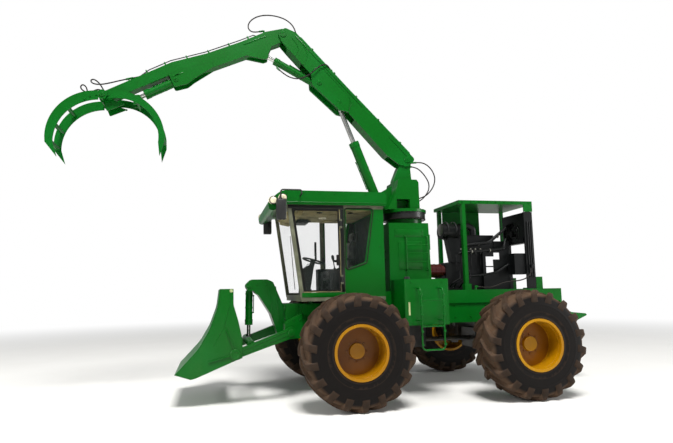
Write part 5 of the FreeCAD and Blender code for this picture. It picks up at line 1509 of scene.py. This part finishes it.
@dataclass
class Cab:
    """Seat, lining, trim and small fittings of the cab."""

    folds: int = 5
    arm_rests: Point = (-0.41, 2.31)
    cushions: tuple[Cushion, ...] = (
        Cushion("seat_cushion", (-0.38, -0.26, 1.992), (0.13, 0.26, 2.115)),
        Cushion("seat_back", (-0.435, -0.25, 2.1), (-0.315, 0.25, 2.66), -0.09),
        Cushion("head_rest", (-0.45, -0.13, 2.66), (-0.37, 0.13, 2.82), -0.09, 0.012))
    lining_boxes: Rows = (((-0.66, -0.73, 3.115), (0.86, 0.73, 3.135), 0.008),
                          ((-0.62, -0.7, 3.1), (0.02, -0.38, 3.118), 0.01))
    lining_nose: Rows = ((0.66, 3.02), (0.84, 3.06), (0.84, 3.118), (0.6, 3.118))
    side_panel: Rows = ((-0.69, 1.7), (-0.05, 1.7), (-0.05, 2.07), (-0.44, 2.2), (-0.59, 3.1),
                        (-0.69, 3.1))
    rear_ribs: Point = (2.05, 2.4, 2.75)
    vent: Rows = ((0.0, 0.05), (-0.012, 0.05), (-0.016, 0.042), (-0.004, 0.036), (-0.004, 0.0))
    vent_rows: Point = (0.3, -0.25)
    knobs: int = 4
    monitor: Rows = (((0.1, -0.755, 2.36), (0.14, -0.735, 2.73), 0.006),
                     ((0.11, -0.735, 2.44), (0.145, -0.7, 2.7), 0.012))
    console: float = 0.37
    lever: Rows = ((0.0, 0.04), (0.012, 0.036), (0.02, 0.022), (0.034, 0.024), (0.046, 0.014),
                   (0.05, 0.01), (0.16, 0.009), (0.175, 0.018), (0.21, 0.026), (0.25, 0.024),
                   (0.268, 0.014), (0.27, 0.0))
    switches: Point = (-0.24, -0.19, -0.14)
    pedals: Point = (-0.16, 0.14)
    pedal: Rows = ((0.5, 1.72), (0.545, 1.8), (0.56, 1.79), (0.515, 1.71))
    gauge: Rows = ((0.445, 2.235), (0.4, 2.262), (0.398, 2.258), (0.443, 2.231))
    quarter: Rows = ((-0.06, 3.14), (-0.57, 3.14), (-0.425, 2.22), (-0.06, 2.095))
    pane: Rows = ((0.055, 1.775), (0.624, 1.775), (0.806, 3.095), (0.055, 3.095))
    handle: Rows = ((0.08, 0.806, 2.2), (0.08, 0.83, 2.215), (0.08, 0.83, 2.33),
                    (0.08, 0.806, 2.345))
    # The dark cover of the post, then a dark strip along the top rail under the roof's edge, which is
    # painted shadow of the roof.
    post_plates_and_rail_shadow: Rows = (((-0.043, 0.7985, 1.745), (0.016, 0.804, 3.125), 0.002),
                         ((-0.043, 0.7985, 3.131), (0.9, 0.803, 3.186), 0.002))
    door_strips: Rows = (((0.0285, 1.75), (0.0345, 1.75), (0.0345, 3.118), (0.0285, 3.118)),
                         ((0.036, 1.7465), (0.65, 1.7465), (0.651, 1.7555), (0.036, 1.7555)))
    lamps: Rows = ((1.15, 3.24), (0.99, 3.285))
    bezel: Rows = ((0.0, 0.06), (0.0, 0.066), (0.045, 0.0665), (0.056, 0.0655), (0.058, 0.058),
                   (0.05, 0.055), (0.0, 0.055), (0.0, 0.06))
    lens: Rows = ((0.048, 0.0), (0.048, 0.056), (0.054, 0.054), (0.061, 0.036), (0.064, 0.0))
    mirror: Rows = ((0.968, 0.925, 2.915), (1.112, 1.045, 3.243))
    gutter: Rows = ((-0.78, 0.851, 3.225), (0.95, 0.851, 3.225), (1.12, 0.851, 3.13))
    roof_bolts: int = 7
    panel_bolts: Point = (1.78, 2.05, 2.5, 2.95)
    wiper: Rows = ((((0.05, 1.8), (0.12, 2.05), (0.24, 2.42)), 0.006),
                   (((0.13, 2.1), (0.24, 2.4), (0.34, 2.72)), 0.005))

    def seat(self) -> None:
        """Make the seat on its sprung base."""
        base = Shape().box((-0.33, -0.2, 1.66), (0.06, 0.2, 1.7), 0.008)
        for i in range(self.folds):
            inset = 0.03 if i % 2 else 0.008
            base.box((-0.33 + inset, -0.2 + inset, 1.7 + i * 0.05),
                     (0.06 - inset, 0.2 - inset, 1.752 + i * 0.05), 0.014)
        base.box((-0.36, -0.24, 1.95), (0.1, 0.24, 1.992), 0.012)
        base.prism(((-0.44, 2.06), (-0.405, 2.06), (-0.435, 2.8), (-0.47, 2.8)), -0.22, 0.22, "Y",
                   0.01)
        x, z = self.arm_rests
        for side in SIDES:
            base.rod((x, side * 0.25, z), (x, side * 0.295, z), 0.03, 0.004)
            base.box((-0.42, side * 0.275 - 0.025, 2.3), (-0.12, side * 0.275 + 0.025, 2.345),
                     0.018, 3)
        made = base.object("dressed_operator_seat", Finish.BLACK_PLASTIC)
        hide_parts("operator_seat")
        mount(made, "chassis")
        for cushion in self.cushions:
            cushion.build()

    def lining(self) -> None:
        """Make the roof's lining, the dark panels and the lamp."""
        lining = Shape()
        for row in self.lining_boxes:
            lining.box(*row)
        lining.prism(self.lining_nose, -0.68, 0.68, "Y", 0.012)
        lining.piece("roof_lining", Finish.HEADLINER)
        panels = Shape().prism(self.side_panel, 0.7515, 0.7565, "Y", 0.001).mirrored()
        panels.box((-0.699, -0.74, 1.7), (-0.693, 0.74, 3.11), 0.002)
        for z in self.rear_ribs:
            panels.box((-0.694, -0.7, z), (-0.686, 0.7, z + 0.012), 0.002)
        panels.piece("cab_lining", Finish.BLACK_PLASTIC)
        Shape().lathe([(0.0, 0.0), (0.0, 0.075), (-0.008, 0.075), (-0.02, 0.06), (-0.024, 0.0)],
                      (0.11, -0.12, 3.115), UP, 40).piece("cab_lamp", Finish.LAMP)

    def vents(self) -> None:
        """Make the roof's round vents with their slats, and the box of knobs."""
        vents = Shape()
        for x in self.vent_rows:
            for side in SIDES:
                vents.lathe(self.vent, (x, side * 0.5, 3.116), UP, 28)
                for i in range(-2, 3):
                    slat = x + i * 0.014
                    vents.box((slat - 0.002, side * 0.5 - 0.034, 3.1),
                              (slat + 0.002, side * 0.5 + 0.034, 3.114), 0.001, 1)
        vents.box((0.34, -0.62, 3.04), (0.56, -0.3, 3.118), 0.012)
        for i in range(self.knobs):
            y = -0.58 + i * 0.08
            vents.rod((0.345, y, 3.075), (0.33, y, 3.075), 0.014)
        vents.piece("roof_vents", Finish.BLACK_PLASTIC)

    def controls(self) -> None:
        """Make the monitor, levers, switches, pedals and gauges."""
        black = Shape()
        for row in self.monitor:
            black.box(*row)
        for side in SIDES:
            y = side * self.console
            black.lathe(self.lever, (0.02, y, 2.12), (0.15, 0, 1), 24)
            black.box((-0.3, y - 0.07, 1.665), (0.1, y + 0.07, 2.12), 0.02, 3)
            for x in self.switches:
                black.box((x, y - 0.02, 2.118), (x + 0.026, y + 0.02, 2.13), 0.004)
        for y in self.pedals:
            black.prism(self.pedal, y - 0.05, y + 0.05, "Y", 0.005)
            black.rod((0.53, y, 1.76), (0.6, y, 1.665), 0.009)
        black.lathe([(0.0, 0.05), (0.018, 0.05), (0.024, 0.04), (0.024, 0.0)],
                    (0.332, 0.0, 2.305), (-0.28, 0, 0.96), 32)
        black.piece("cab_controls", Finish.BLACK_PLASTIC)
        screen = Shape().box((0.144, -0.732, 2.455), (0.148, -0.703, 2.685), 0.001, 1)
        screen.prism(self.gauge, -0.09, 0.09, "Y", 0.001).piece("cab_screens", Finish.SCREEN)

    def seals(self) -> None:
        """Make the rubber seals round the panes and the door's handle."""
        rubber = Shape()
        for side in SIDES:
            loop = [(x, side * 0.8005, z) for x, z in self.quarter]
            middle = Vector(loop[0]).lerp(Vector(loop[-1]), 0.5)
            rubber.pipe([middle, *loop, middle], 0.011, 0.05, 10)
        rubber.piece("window_seals", Finish.SEAL, slot="hose")
        start = Vector((0.055, 0.8, 2.4))
        door = Shape().pipe([start, *[(x, 0.8, z) for x, z in self.pane], start], 0.006, 0.03, 8)
        door.box((0.062, 0.792, 2.18), (0.1, 0.812, 2.36), 0.008)
        door.pipe(self.handle, 0.007, 0.01, 10).piece("door_trim", Finish.SEAL, "door")

    def covers(self) -> None:
        """Make the plates on the sill and on the post, the dark strip under the roof's edge that
        paints the roof's shadow, and the pale strips down the door.
        """
        Shape().box((-0.04, 0.7985, 1.664), (0.688, 0.804, 1.738), 0.002).piece(
            "sill_covers", Finish.GREEN)
        post, pale = Shape(), Shape()
        for row in self.post_plates_and_rail_shadow:
            post.box(*row)
        post.piece("post_covers_and_rail_shadow", Finish.TRIM_BLACK)
        for outline in self.door_strips:
            pale.prism(outline, 0.799, 0.8045, "Y", 0.001)
        pale.piece("door_edge", Finish.HEADLINER, "door")

    def roof_lamps(self) -> None:
        """Make the lamps' bezels and lenses."""
        bezels, lens = Shape(), Shape()
        for side in SIDES:
            for x, z in self.lamps:
                centre, axis = (x, side * 0.86, z), (0, side, 0)
                bezels.lathe(self.bezel, centre, axis, 48)
                lens.lathe(self.lens, centre, axis, 48)
                bezels.box((x - 0.012, side * 0.88 - 0.01, z + 0.06),
                           (x + 0.012, side * 0.88 + 0.01, z + 0.072), 0.003)
        bezels.piece("lamp_bezels", Finish.BLACK_PLASTIC)
        lens.piece("lamp_lenses", Finish.LAMP)

    def outside(self) -> None:
        """Make the mirrors, gutter, bolts and wiper."""
        low, high = (Vector(corner) for corner in self.mirror)
        grow = Vector((0.005, 0.004, 0.004))
        shell = Shape().box(low - grow, high + grow, 0.03, 4)
        shell.rod((1.04, 0.985, 3.235), (1.04, 0.985, 3.262), 0.024, 0.004)
        shell.mirrored().piece("mirror_shells", Finish.BLACK_PLASTIC)
        glass = Shape().box((0.9605, 0.94, 2.935), (0.966, 1.03, 3.223), 0.002)
        glass.mirrored().piece("mirror_faces", Finish.CHROME)
        trim = Shape().pipe(self.gutter, 0.009, 0.08, 10)
        for i in range(self.roof_bolts):
            trim.bolt((-0.7 + i * 0.27, 0.85, 3.38), LEFT, 0.008)
        for z in self.panel_bolts:
            trim.bolt((-0.66, 0.8, z), LEFT, 0.008)
            trim.bolt((-0.12, 0.8, z - 0.02 if z < 2 else 3.17), LEFT, 0.006)
        trim.mirrored().piece("cab_bolts", Finish.GREEN)
        wiper = Shape()
        for run, radius in self.wiper:
            found = [SOLIDS.hit((0.89, y, z), (-1, 0, 0), 0.4) for y, z in run]
            wiper.pipe([p + Vector((0.008, 0, 0)) for p in found if p], radius, 0.1, 8)
        wiper.piece("wiper", Finish.BLACK_PLASTIC)

    def build(self) -> None:
        """Make all of it."""
        for make in (self.seat, self.lining, self.vents, self.controls, self.seals, self.covers,
                     self.roof_lamps, self.outside):
            make()


# ---- deck and blade
@dataclass
class Deck:
    """Small parts on the pedestal, the tanks, the frame and the ladder."""

    slew: Point = (-1.44, 0.0, 0.0)
    flange: float = 0.39
    flange_bolts: int = 24
    seal: Rows = ((3.052, 3.079), (0.393, 0.4))
    plates: Rows = (((-1.56, 2.12), (-1.12, 2.62)), ((-1.6, 2.7), (-1.06, 2.83)))
    plate: float = 0.006
    plate_edge: float = 0.03
    front_ribs: Point = (2.3, 2.45)
    tank_side: float = 1.1995
    tank_seams: Point = (-0.925, -1.655)
    tank_bolts: Rows = ((-1.56, 1.24), (-1.56, 1.88), (-1.02, 1.24), (-1.02, 1.88))
    tank_cap: Rows = ((0.0, 0.06), (0.01, 0.062), (0.012, 0.05), (0.04, 0.048), (0.046, 0.04),
                      (0.046, 0.0))
    drain: Rows = ((0.0, 0.03), (0.012, 0.03), (0.016, 0.02), (0.016, 0.0))
    reflector: Rows = ((-1.0, 1.199, 1.35), (-0.97, 1.2035, 1.56))
    rails: Point = (-1.49, -1.11)
    knobs: Point = (0.9, 1.1, 1.36, 1.5, 1.68)
    knob: Rows = ((0.0, 0.016), (0.004, 0.02), (0.016, 0.02), (0.02, 0.012), (0.02, 0.0))
    treads: Point = (1.18, 1.59)
    teeth: int = 11
    frame_bolts: int = 17
    frame_rows: Point = (1.47, 1.27)

    def ring_bolts(self) -> None:
        """Make the bolts round the slew ring's flange and the bearing's seal."""
        bolts, centre = Shape(), Vector(self.slew)
        turns = [i * math.pi / 12 for i in range(self.flange_bolts)]
        ring = [centre + Vector((self.flange * math.cos(turn), self.flange * math.sin(turn), 3.3))
                for turn in turns]
        SOLIDS.bolts(bolts, ring, (0, 0, -1), 0.01, 0.1)
        bolts.piece("flange_bolts", Finish.GREEN, "tower")
        (low, high), (inner, outer) = self.seal
        Shape().band(centre, UP, low, high, inner, outer, 96).piece("bearing_seal", Finish.SEAL)

    def pedestal(self) -> None:
        """Make the cover plates, seams and bolts on the pedestal's sides."""
        plates, edge = Shape(), self.plate_edge
        for low, high in self.plates:
            face = SOLIDS.hit((low[0] + 0.02, 0.54, low[1] + 0.02), (0, -1, 0))
            wall = face.y if face else 0.5
            plates.box((low[0], wall - 0.002, low[1]), (high[0], wall + self.plate, high[1]), 0.003)
            for x in (low[0] + edge, high[0] - edge):
                for z in (low[1] + edge, high[1] - edge):
                    plates.bolt((x, wall + self.plate, z), LEFT, 0.008)
        plates.mirrored()
        for z in self.front_ribs:
            plates.box((-0.952, -0.3, z), (-0.934, 0.3, z + 0.02), 0.004)
        plates.piece("pedestal_plates", Finish.GREEN)

    def tanks(self) -> None:
        """Make the tanks' seams, bolts, caps, drain plugs and reflectors."""
        green = Shape()
        for x in self.tank_seams:
            green.pipe([(x, self.tank_side, 1.21), (x, self.tank_side, 1.91)], 0.0045, 0.01, 8)
        for x, z in self.tank_bolts:
            green.bolt((x, 1.2, z), LEFT, 0.008)
        black = Shape().lathe(self.tank_cap, (-1.02, 1.05, 1.928), UP, 40)
        black.lathe(self.drain, (-1.3, 1.05, 1.19), (0, 0, -1), 24)
        green.mirrored().piece("tank_bolts", Finish.GREEN)
        black.mirrored().piece("tank_caps", Finish.BLACK_PLASTIC)
        Shape().box(*self.reflector, 0.0015, 1).mirrored().piece(
            "tank_reflectors", Finish.REFLECTOR)

    def ladder(self) -> None:
        """Make the knobs on the rails and the treads' teeth."""
        parts = Shape()
        for x in self.rails:
            for z in self.knobs:
                parts.lathe(self.knob, (x, 1.382, z), LEFT, 16)
        for z in self.treads:
            for i in range(self.teeth):
                x = -1.46 + i * 0.032
                parts.box((x, 1.352, z + 0.008), (x + 0.01, 1.386, z + 0.017), 0.002, 1)
        parts.piece("ladder_knobs", Finish.GREEN)

    def frame(self) -> None:
        """Make the bolts of the frame."""
        bolts = Shape()
        starts = [(-4.5 + i * 0.3, 0.75, z) for i in range(self.frame_bolts)
                  for z in self.frame_rows]
        SOLIDS.bolts(bolts, starts, (0, -1, 0), 0.011, 0.4)
        bolts.mirrored().piece("frame_bolts", Finish.GREEN)

    def build(self) -> None:
        """Make all of it."""
        for make in (self.ring_bolts, self.pedestal, self.tanks, self.ladder, self.frame):
            make()


@dataclass
class BladeParts:
    """Ribs, seams and fittings of the blade, its arms and the arch that lifts it."""

    side: float = 0.768
    rim: Rows = ((1.994, 1.82), (2.032, 1.524), (2.155, 1.186), (2.325, 0.893), (2.67, 0.526))
    rear: Rows = ((1.791, 1.82), (1.791, 1.571), (1.719, 1.325), (1.654, 1.03), (1.654, 0.75))
    crease: Rows = ((1.83, 1.78), (1.85, 1.55), (1.94, 1.22), (2.1, 0.93))
    boss: Rows = ((-0.004, 0.0), (-0.004, 0.082), (0.03, 0.082), (0.036, 0.076), (0.036, 0.05),
                  (0.03, 0.044), (0.03, 0.0))
    boss_centre: Point = (1.76, 0.8)
    rib_tips: Rows = ((1.9, 1.2), (2.17, 0.7))
    rib_half: float = 0.009
    patch: Rows = ((1.795, 0.768, 1.77), (1.845, 0.7745, 1.818))
    arm_lines: Rows = ((((0.93, 0.752, 1.13), (1.3, 0.752, 0.985), (1.66, 0.752, 0.85)), 0.006),
                       (((0.93, 0.752, 1.06), (1.3, 0.752, 0.925), (1.64, 0.752, 0.795)), 0.005))
    arch_ribs: Point = (0.97, 1.08)
    arch_bolts: Rows = ((1.0, 1.14), (1.0, 1.26), (1.36, 1.9), (1.2, 1.9))
    barrel_rings: Point = (0.12, 0.36)
    front_bolts: Rows = ((0.3, 0.5, 0.68), (1.08, 1.3, 1.48))
    side_bolts: Rows = ((0.7, 0.8, 0.9), (1.3, 1.5))

    def blade(self) -> None:
        """Make the side plates' rims, ribs, boss rings and pale patches."""
        shape, foot = Shape(), Vector(self.boss_centre)
        shape.pipe([(x, self.side, z) for x, z in self.rim], 0.008, 0.6, 8)
        shape.pipe([(x, self.side, z) for x, z in self.rear], 0.006, 0.2, 8)
        shape.lathe(self.boss, (foot.x, 0.769, foot.y), LEFT, 40)
        for tip in (Vector(point) for point in self.rib_tips):
            run = (tip - foot).normalized()
            wide = Vector((-run.y, run.x)) * self.rib_half
            low = foot + run * 0.07
            shape.prism((low - wide, tip - wide, tip + wide, low + wide), 0.766, 0.795)
        shape.pipe([(x, 0.77, z) for x, z in self.crease], 0.004, 0.3, 8)
        shape.mirrored().piece("blade_rims", Finish.GREEN, "blade")
        Shape().box(*self.patch, 0.002).mirrored().piece("blade_patches", Finish.REFLECTOR, "blade")

    def arms(self) -> None:
        """Make the ridges along the push arms."""
        shape = Shape()
        for line, radius in self.arm_lines:
            shape.pipe(line, radius, 0.1, 8)
        shape.mirrored().piece("arm_ridges", Finish.GREEN, "blade")

    def arch(self) -> None:
        """Make the arch's side ribs and bolts, and the rings on the blade's cylinder."""
        shape = Shape()
        for x in self.arch_ribs:
            shape.prism(((x, 1.3), (x + 0.02, 1.3), (x + 0.08, 1.86), (x + 0.06, 1.86)),
                        0.166, 0.178)
        for x, z in self.arch_bolts:
            shape.bolt((x, 0.17, z), LEFT, 0.01)
        shape.mirrored().piece("arch_ribs", Finish.GREEN)
        rings, axis = Shape(), Vector((0.02, 0, -0.93)).normalized()
        for place in self.barrel_rings:
            rings.band(BLADE_FOOT, axis, place - 0.014, place + 0.014, 0.06, 0.067)
        rings.piece("blade_barrel_rings", Finish.GREEN, "blade_barrel")

    def block(self) -> None:
        """Make the bolts on the front block."""
        shape = Shape()
        across, heights = self.front_bolts
        SOLIDS.bolts(shape, [(1.1, y, z) for y in across for z in heights], (-1, 0, 0), 0.012, 0.4)
        along, heights = self.side_bolts
        SOLIDS.bolts(shape, [(x, 0.95, z) for x in along for z in heights], (0, -1, 0), 0.011, 0.4)
        shape.mirrored().piece("block_bolts", Finish.GREEN)

    def build(self) -> None:
        """Make all of it."""
        for make in (self.blade, self.arms, self.arch, self.block):
            make()


# ---- engine
@dataclass
class Engine:
    """Bands, pipes, clamps, fan guard, fins and bolts round the engine."""

    cleaner_side: float = 0.2
    cleaner_drop: float = 0.152
    cleaner_bands: Point = (0.63, 0.88)
    lid: Rows = ((0.0, 0.0), (0.0, 0.1), (-0.006, 0.112), (-0.012, 0.112), (-0.012, 0.0))
    injectors: int = 6
    injector: Rows = ((0.0, 0.018), (0.01, 0.018), (0.014, 0.012), (0.04, 0.012), (0.042, 0.0))
    cooler_pipes: Point = (-3.765, -3.725, -3.685)
    long_pipes: Rows = (
        (((-2.5, 0.33, 1.98), (-2.75, 0.36, 2.0), (-3.1, 0.36, 2.06), (-3.36, 0.34, 2.2)),
         0.02, 0.1, 14),
        (((-2.36, 0.1, 2.3), (-2.36, 0.28, 2.42), (-2.6, 0.33, 2.44), (-3.3, 0.3, 2.5),
          (-3.42, 0.2, 2.7)), 0.026, 0.1, 16),
        (((-2.45, 0.0, 2.45), (-2.45, 0.24, 2.56), (-3.0, 0.3, 2.62), (-3.4, 0.26, 2.9)),
         0.03, 0.12, 16))
    pump_pipes: Point = (-2.2, -2.28, -2.4)
    clamps: Rows = ((-2.62, 0.33, 2.441), (-3.0, 0.315, 2.47), (-2.8, 0.27, 2.595),
                    (-3.2, 0.285, 2.74))
    guard: Point = (-3.714, 0.08, 2.815)
    guard_out: float = 0.06
    guard_rings: Point = (0.09, 0.15, 0.205)
    guard_spokes: int = 8
    fins: int = 40
    fin_pitch: float = 0.0135
    canopy_bolts: int = 9
    pump_centre: Point = (-1.96, 0.15, 2.1)
    pump_bolts: int = 6
    pump_bands: Point = (-0.08, 0.02, 0.1)

    def drum_bands(self) -> None:
        """Make the bands, lid and clips of the air cleaner."""
        low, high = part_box("air_cleaner")
        y, z = self.cleaner_side, high.z - self.cleaner_drop
        bands, (start, stop) = Shape(), (low.x + 0.07, high.x - 0.02)
        for share in self.cleaner_bands:
            x = start + (stop - start) * share
            bands.band((x, y, z), (1, 0, 0), -0.014, 0.014, 0.149, 0.1565, 56)
            bands.rod((x, y + 0.156, z - 0.03), (x, y + 0.156, z + 0.03), 0.01)
        bands.piece("cleaner_bands", Finish.BLACK_PLASTIC)
        Shape().lathe(self.lid, (high.x + 0.006, y, z), (1, 0, 0), 48).piece(
            "cleaner_lid", Finish.ZINC)

    def pipes(self) -> None:
        """Make the injection pipes, coolant pipes and their clips."""
        black, metal = Shape(), Shape()
        for i in range(self.injectors):
            x = -2.84 + i * 0.1
            black.pipe([(x, 0.25, 2.1), (x + 0.02, 0.285, 2.2), (x + 0.01, 0.28, 2.36),
                        (x - 0.02, 0.24, 2.46)], 0.006, 0.04, 8)
            metal.lathe(self.injector, (x, 0.228, 2.5), LEFT, 16)
        for x in self.cooler_pipes:
            black.pipe([(x, 0.512, 1.95), (x + 0.01, 0.514, 2.4), (x, 0.512, 3.0)], 0.011, 0.1, 10)
        for row in self.long_pipes:
            black.pipe(*row)
        for x in self.pump_pipes:
            black.pipe([(x, 0.22, 1.78), (x, 0.33, 1.86), (x - 0.16, 0.35, 1.96),
                        (x - 0.2, 0.26, 2.1)], 0.013, 0.06, 10)
        black.piece("engine_pipes", Finish.ENGINE_BLACK)
        for place in self.clamps:
            metal.band(place, (1, 0, 0.1), -0.01, 0.01, 0.0275, 0.034, 24)
        metal.piece("engine_clamps", Finish.ZINC)

    def fan(self) -> None:
        """Make the fan's guard."""
        parts, centre = Shape(), Vector(self.guard) + Vector((self.guard_out, 0, 0))
        for radius in self.guard_rings:
            parts.ring(centre, (1, 0, 0), radius, 0.004, 48, 6)
        for i in range(self.guard_spokes):
            turn = 2 * math.pi * i / self.guard_spokes
            out = Vector((0, math.cos(turn), math.sin(turn)))
            parts.rod(centre + out * 0.06, centre + out * 0.235, 0.0035, 0.001, 8)
        parts.piece("fan_guard", Finish.ENGINE_BLACK)

    def core(self) -> None:
        """Make the radiator's fins."""
        low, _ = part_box("radiator")
        first = Shape().box((low.x + 0.008, -0.23, 2.62), (low.x + 0.012, 0.38, 2.626), 0.0, 1)
        row = COPIES.make(first.object("radiator_fins", Finish.ZINC), Finish.ZINC, self.fins,
                          axis=UP, step=(0.0, 0.0, self.fin_pitch))
        mount(row, "chassis")

    def canopy(self) -> None:
        """Make the canopy's bolts."""
        shape = Shape()
        for side in SIDES:
            for i in range(self.canopy_bolts):
                shape.bolt((-3.74 + i * 0.17, side * 0.515, 3.35), (0, side, 0), 0.008)
        shape.piece("canopy_bolts", Finish.GREEN)

    def pump(self) -> None:
        """Make the pump's flange bolts and bands."""
        shape, centre = Shape(), Vector(self.pump_centre)
        ring = [centre + Vector((0.35, 0.1 * math.cos(i * math.pi / 3),
                                 0.1 * math.sin(i * math.pi / 3)))
                for i in range(self.pump_bolts)]
        SOLIDS.bolts(shape, ring, (-1, 0, 0), 0.01)
        for place in self.pump_bands:
            shape.band(centre, (1, 0, 0), place - 0.008, place + 0.008, 0.122, 0.131, 64)
        shape.piece("pump_bolts", Finish.PUMP_RED)

    def build(self) -> None:
        """Make all of it."""
        for make in (self.drum_bands, self.pipes, self.fan, self.core, self.canopy, self.pump):
            make()


# ---- grab
@dataclass
class Grab:
    """Bolts on the two jaws, by jaw."""

    out: float = 0.4
    bolts: Rows = (("jaw_front", ((4.02, 5.09), (4.12, 5.06), (4.2, 5.0))),
                   ("jaw_rear", ((3.84, 5.1), (3.72, 5.07), (3.6, 5.0))))

    def build(self) -> None:
        """Make them on both jaws."""
        for name, places in self.bolts:
            shape = Shape()
            for side in SIDES:
                starts = [(x, side * self.out, z) for x, z in places]
                SOLIDS.bolts(shape, starts, (0, -side, 0), 0.012)
            shape.piece(name + "_bolts", Finish.GREEN, name)


# ---- staging
@dataclass(frozen=True)
class Lamp:
    """Soft square lamp: its place, the point it faces, its side and its power in watts."""

    name: str
    place: Point
    aim: Point
    size: float
    power: float

    def build(self) -> None:
        """Place the lamp."""
        data = bpy.data.lights.new(self.name, "AREA")
        data.size, data.energy = self.size, self.power
        holder = bpy.data.objects.new(self.name, data)
        turn = (Vector(self.aim) - Vector(self.place)).to_track_quat("-Z", "Y")
        holder.matrix_world = Matrix.LocRotScale(Vector(self.place), turn, None)
        bpy.context.scene.collection.objects.link(holder)


@dataclass
class Studio:
    """Camera, floor, lamps and sky."""

    place: Point = (2.12, 8.61, 1.75)
    yaw: float = math.radians(-101.2)
    pitch: float = math.radians(5.77)
    roll: float = math.radians(-1.06)
    lens: float = 26.05
    shift: Point = (0.0423, 0.0319)
    far: float = 400.0
    sky_colour: Colour = (0.92, 0.96, 1.0, 1.0)
    sky_strength: float = 0.3
    white: Colour = (1.0, 1.0, 1.0, 1.0)
    floor_half: float = 150.0
    fade: Point = (9.0, 26.0)
    lamps: tuple[Lamp, ...] = (
        Lamp("key", (1.0, 12.0, 24.0), (-0.5, 0.0, 2.5), 8.0, 9000.0),
        Lamp("fill", (-18.0, 8.0, 5.0), (-1.0, 0.0, 2.0), 7.0, 1100.0),
        Lamp("front", (17.0, 5.0, 9.0), (-0.5, 0.0, 2.0), 7.0, 1300.0))

    def camera(self) -> None:
        """Place the camera."""
        data = bpy.data.cameras.new("view")
        data.sensor_width = 36.0
        data.lens = self.lens
        data.shift_x, data.shift_y = self.shift
        data.clip_end = self.far
        holder = bpy.data.objects.new("view", data)
        forward = Vector((math.cos(self.yaw) * math.cos(self.pitch),
                          math.sin(self.yaw) * math.cos(self.pitch), math.sin(self.pitch)))
        level = forward.cross(Vector(UP)).normalized()
        upright = level.cross(forward)
        right = level * math.cos(self.roll) + upright * math.sin(self.roll)
        top = upright * math.cos(self.roll) - level * math.sin(self.roll)
        turn = Matrix((right, top, -forward)).transposed()
        holder.matrix_world = Matrix.Translation(self.place) @ turn.to_4x4()
        bpy.context.scene.collection.objects.link(holder)
        bpy.context.scene.camera = holder

    def sky(self) -> None:
        """Light the scene evenly, with a white background for camera and transmission rays."""
        world = bpy.data.worlds.new("sky")
        world.use_nodes = True
        tree = world.node_tree
        tree.nodes.clear()
        rays, even, white, higher, mix, out = (tree.nodes.new(kind) for kind in (
            "ShaderNodeLightPath", "ShaderNodeBackground", "ShaderNodeBackground",
            "ShaderNodeMath", "ShaderNodeMixShader", "ShaderNodeOutputWorld"))
        even.inputs["Color"].default_value = self.sky_colour
        even.inputs["Strength"].default_value = self.sky_strength
        white.inputs["Color"].default_value = self.white
        higher.operation = "MAXIMUM"
        for source, target in ((rays.outputs["Is Camera Ray"], higher.inputs[0]),
                               (rays.outputs["Is Transmission Ray"], higher.inputs[1]),
                               (higher.outputs[0], mix.inputs[0]),
                               (even.outputs[0], mix.inputs[1]),
                               (white.outputs[0], mix.inputs[2]),
                               (mix.outputs[0], out.inputs["Surface"])):
            tree.links.new(source, target)
        bpy.context.scene.world = world

    def floor(self) -> None:
        """Lay the pale floor, which fades into the background far away."""
        g = Graph("floor")
        seen = g.value("ShaderNodeLightPath", "Is Camera Ray")
        away = g.value("ShaderNodeVectorMath", "Value", {"operation": "LENGTH"}, {0: g.place()})
        far = away.step(*self.fade)
        tone = g.mix(g.noise(0.9, 5.0), srgb(224, 222, 217), srgb(230, 228, 224))
        plain = g.node("ShaderNodeBsdfPrincipled", None, {"Base Color": tone, "Roughness": 0.9})
        bright = g.node("ShaderNodeEmission", None, {"Color": self.white, "Strength": 1.0})
        mix = g.node("ShaderNodeMixShader", None, {0: far * seen})
        g.tree.links.new(plain.outputs[0], mix.inputs[1])
        g.tree.links.new(bright.outputs[0], mix.inputs[2])
        g.tree.links.new(mix.outputs[0], g.output.inputs["Surface"])
        mesh = bpy.data.meshes.new("floor")
        half = self.floor_half
        mesh.from_pydata([(-half, -half, 0), (half, -half, 0), (half, half, 0), (-half, half, 0)],
                         [], [(0, 1, 2, 3)])
        mesh.materials.append(g.material)
        made = bpy.data.objects.new("floor", mesh)
        bpy.context.scene.collection.objects.link(made)

    def build(self) -> None:
        """Set up the sky, the floor and the lamps."""
        self.sky()
        self.floor()
        for lamp in self.lamps:
            lamp.build()
        bpy.context.scene.view_settings.view_transform = "Standard"


TYRES = tuple(Tyre(f"tyre_{place}", f"wheel_{place}")
              for place in ("front_left", "front_right", "rear_left", "rear_right"))


def paint_frame() -> None:
    """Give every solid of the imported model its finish."""
    for name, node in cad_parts.items():
        slot = node.data.materials[0].name.split(".")[0]
        node.data.materials[0] = Finish[slot.upper()].material()
        LOG.info("%s is %s", name, slot)


def main() -> None:
    """Build the scene."""
    logging.basicConfig(level=logging.INFO, format="%(message)s", stream=sys.stdout)
    studio = Studio()
    studio.camera()
    for hose in HOSES:
        hose.build()
    paint_frame()
    for tyre in TYRES:
        tyre.build()
        tyre.dress()
    for part in (Plumbing(), *RAMS, Pins(), Cab(), Deck(), BladeParts(), Engine(), Grab()):
        part.build()
    studio.build()


if __name__ == "__main__":
    main()
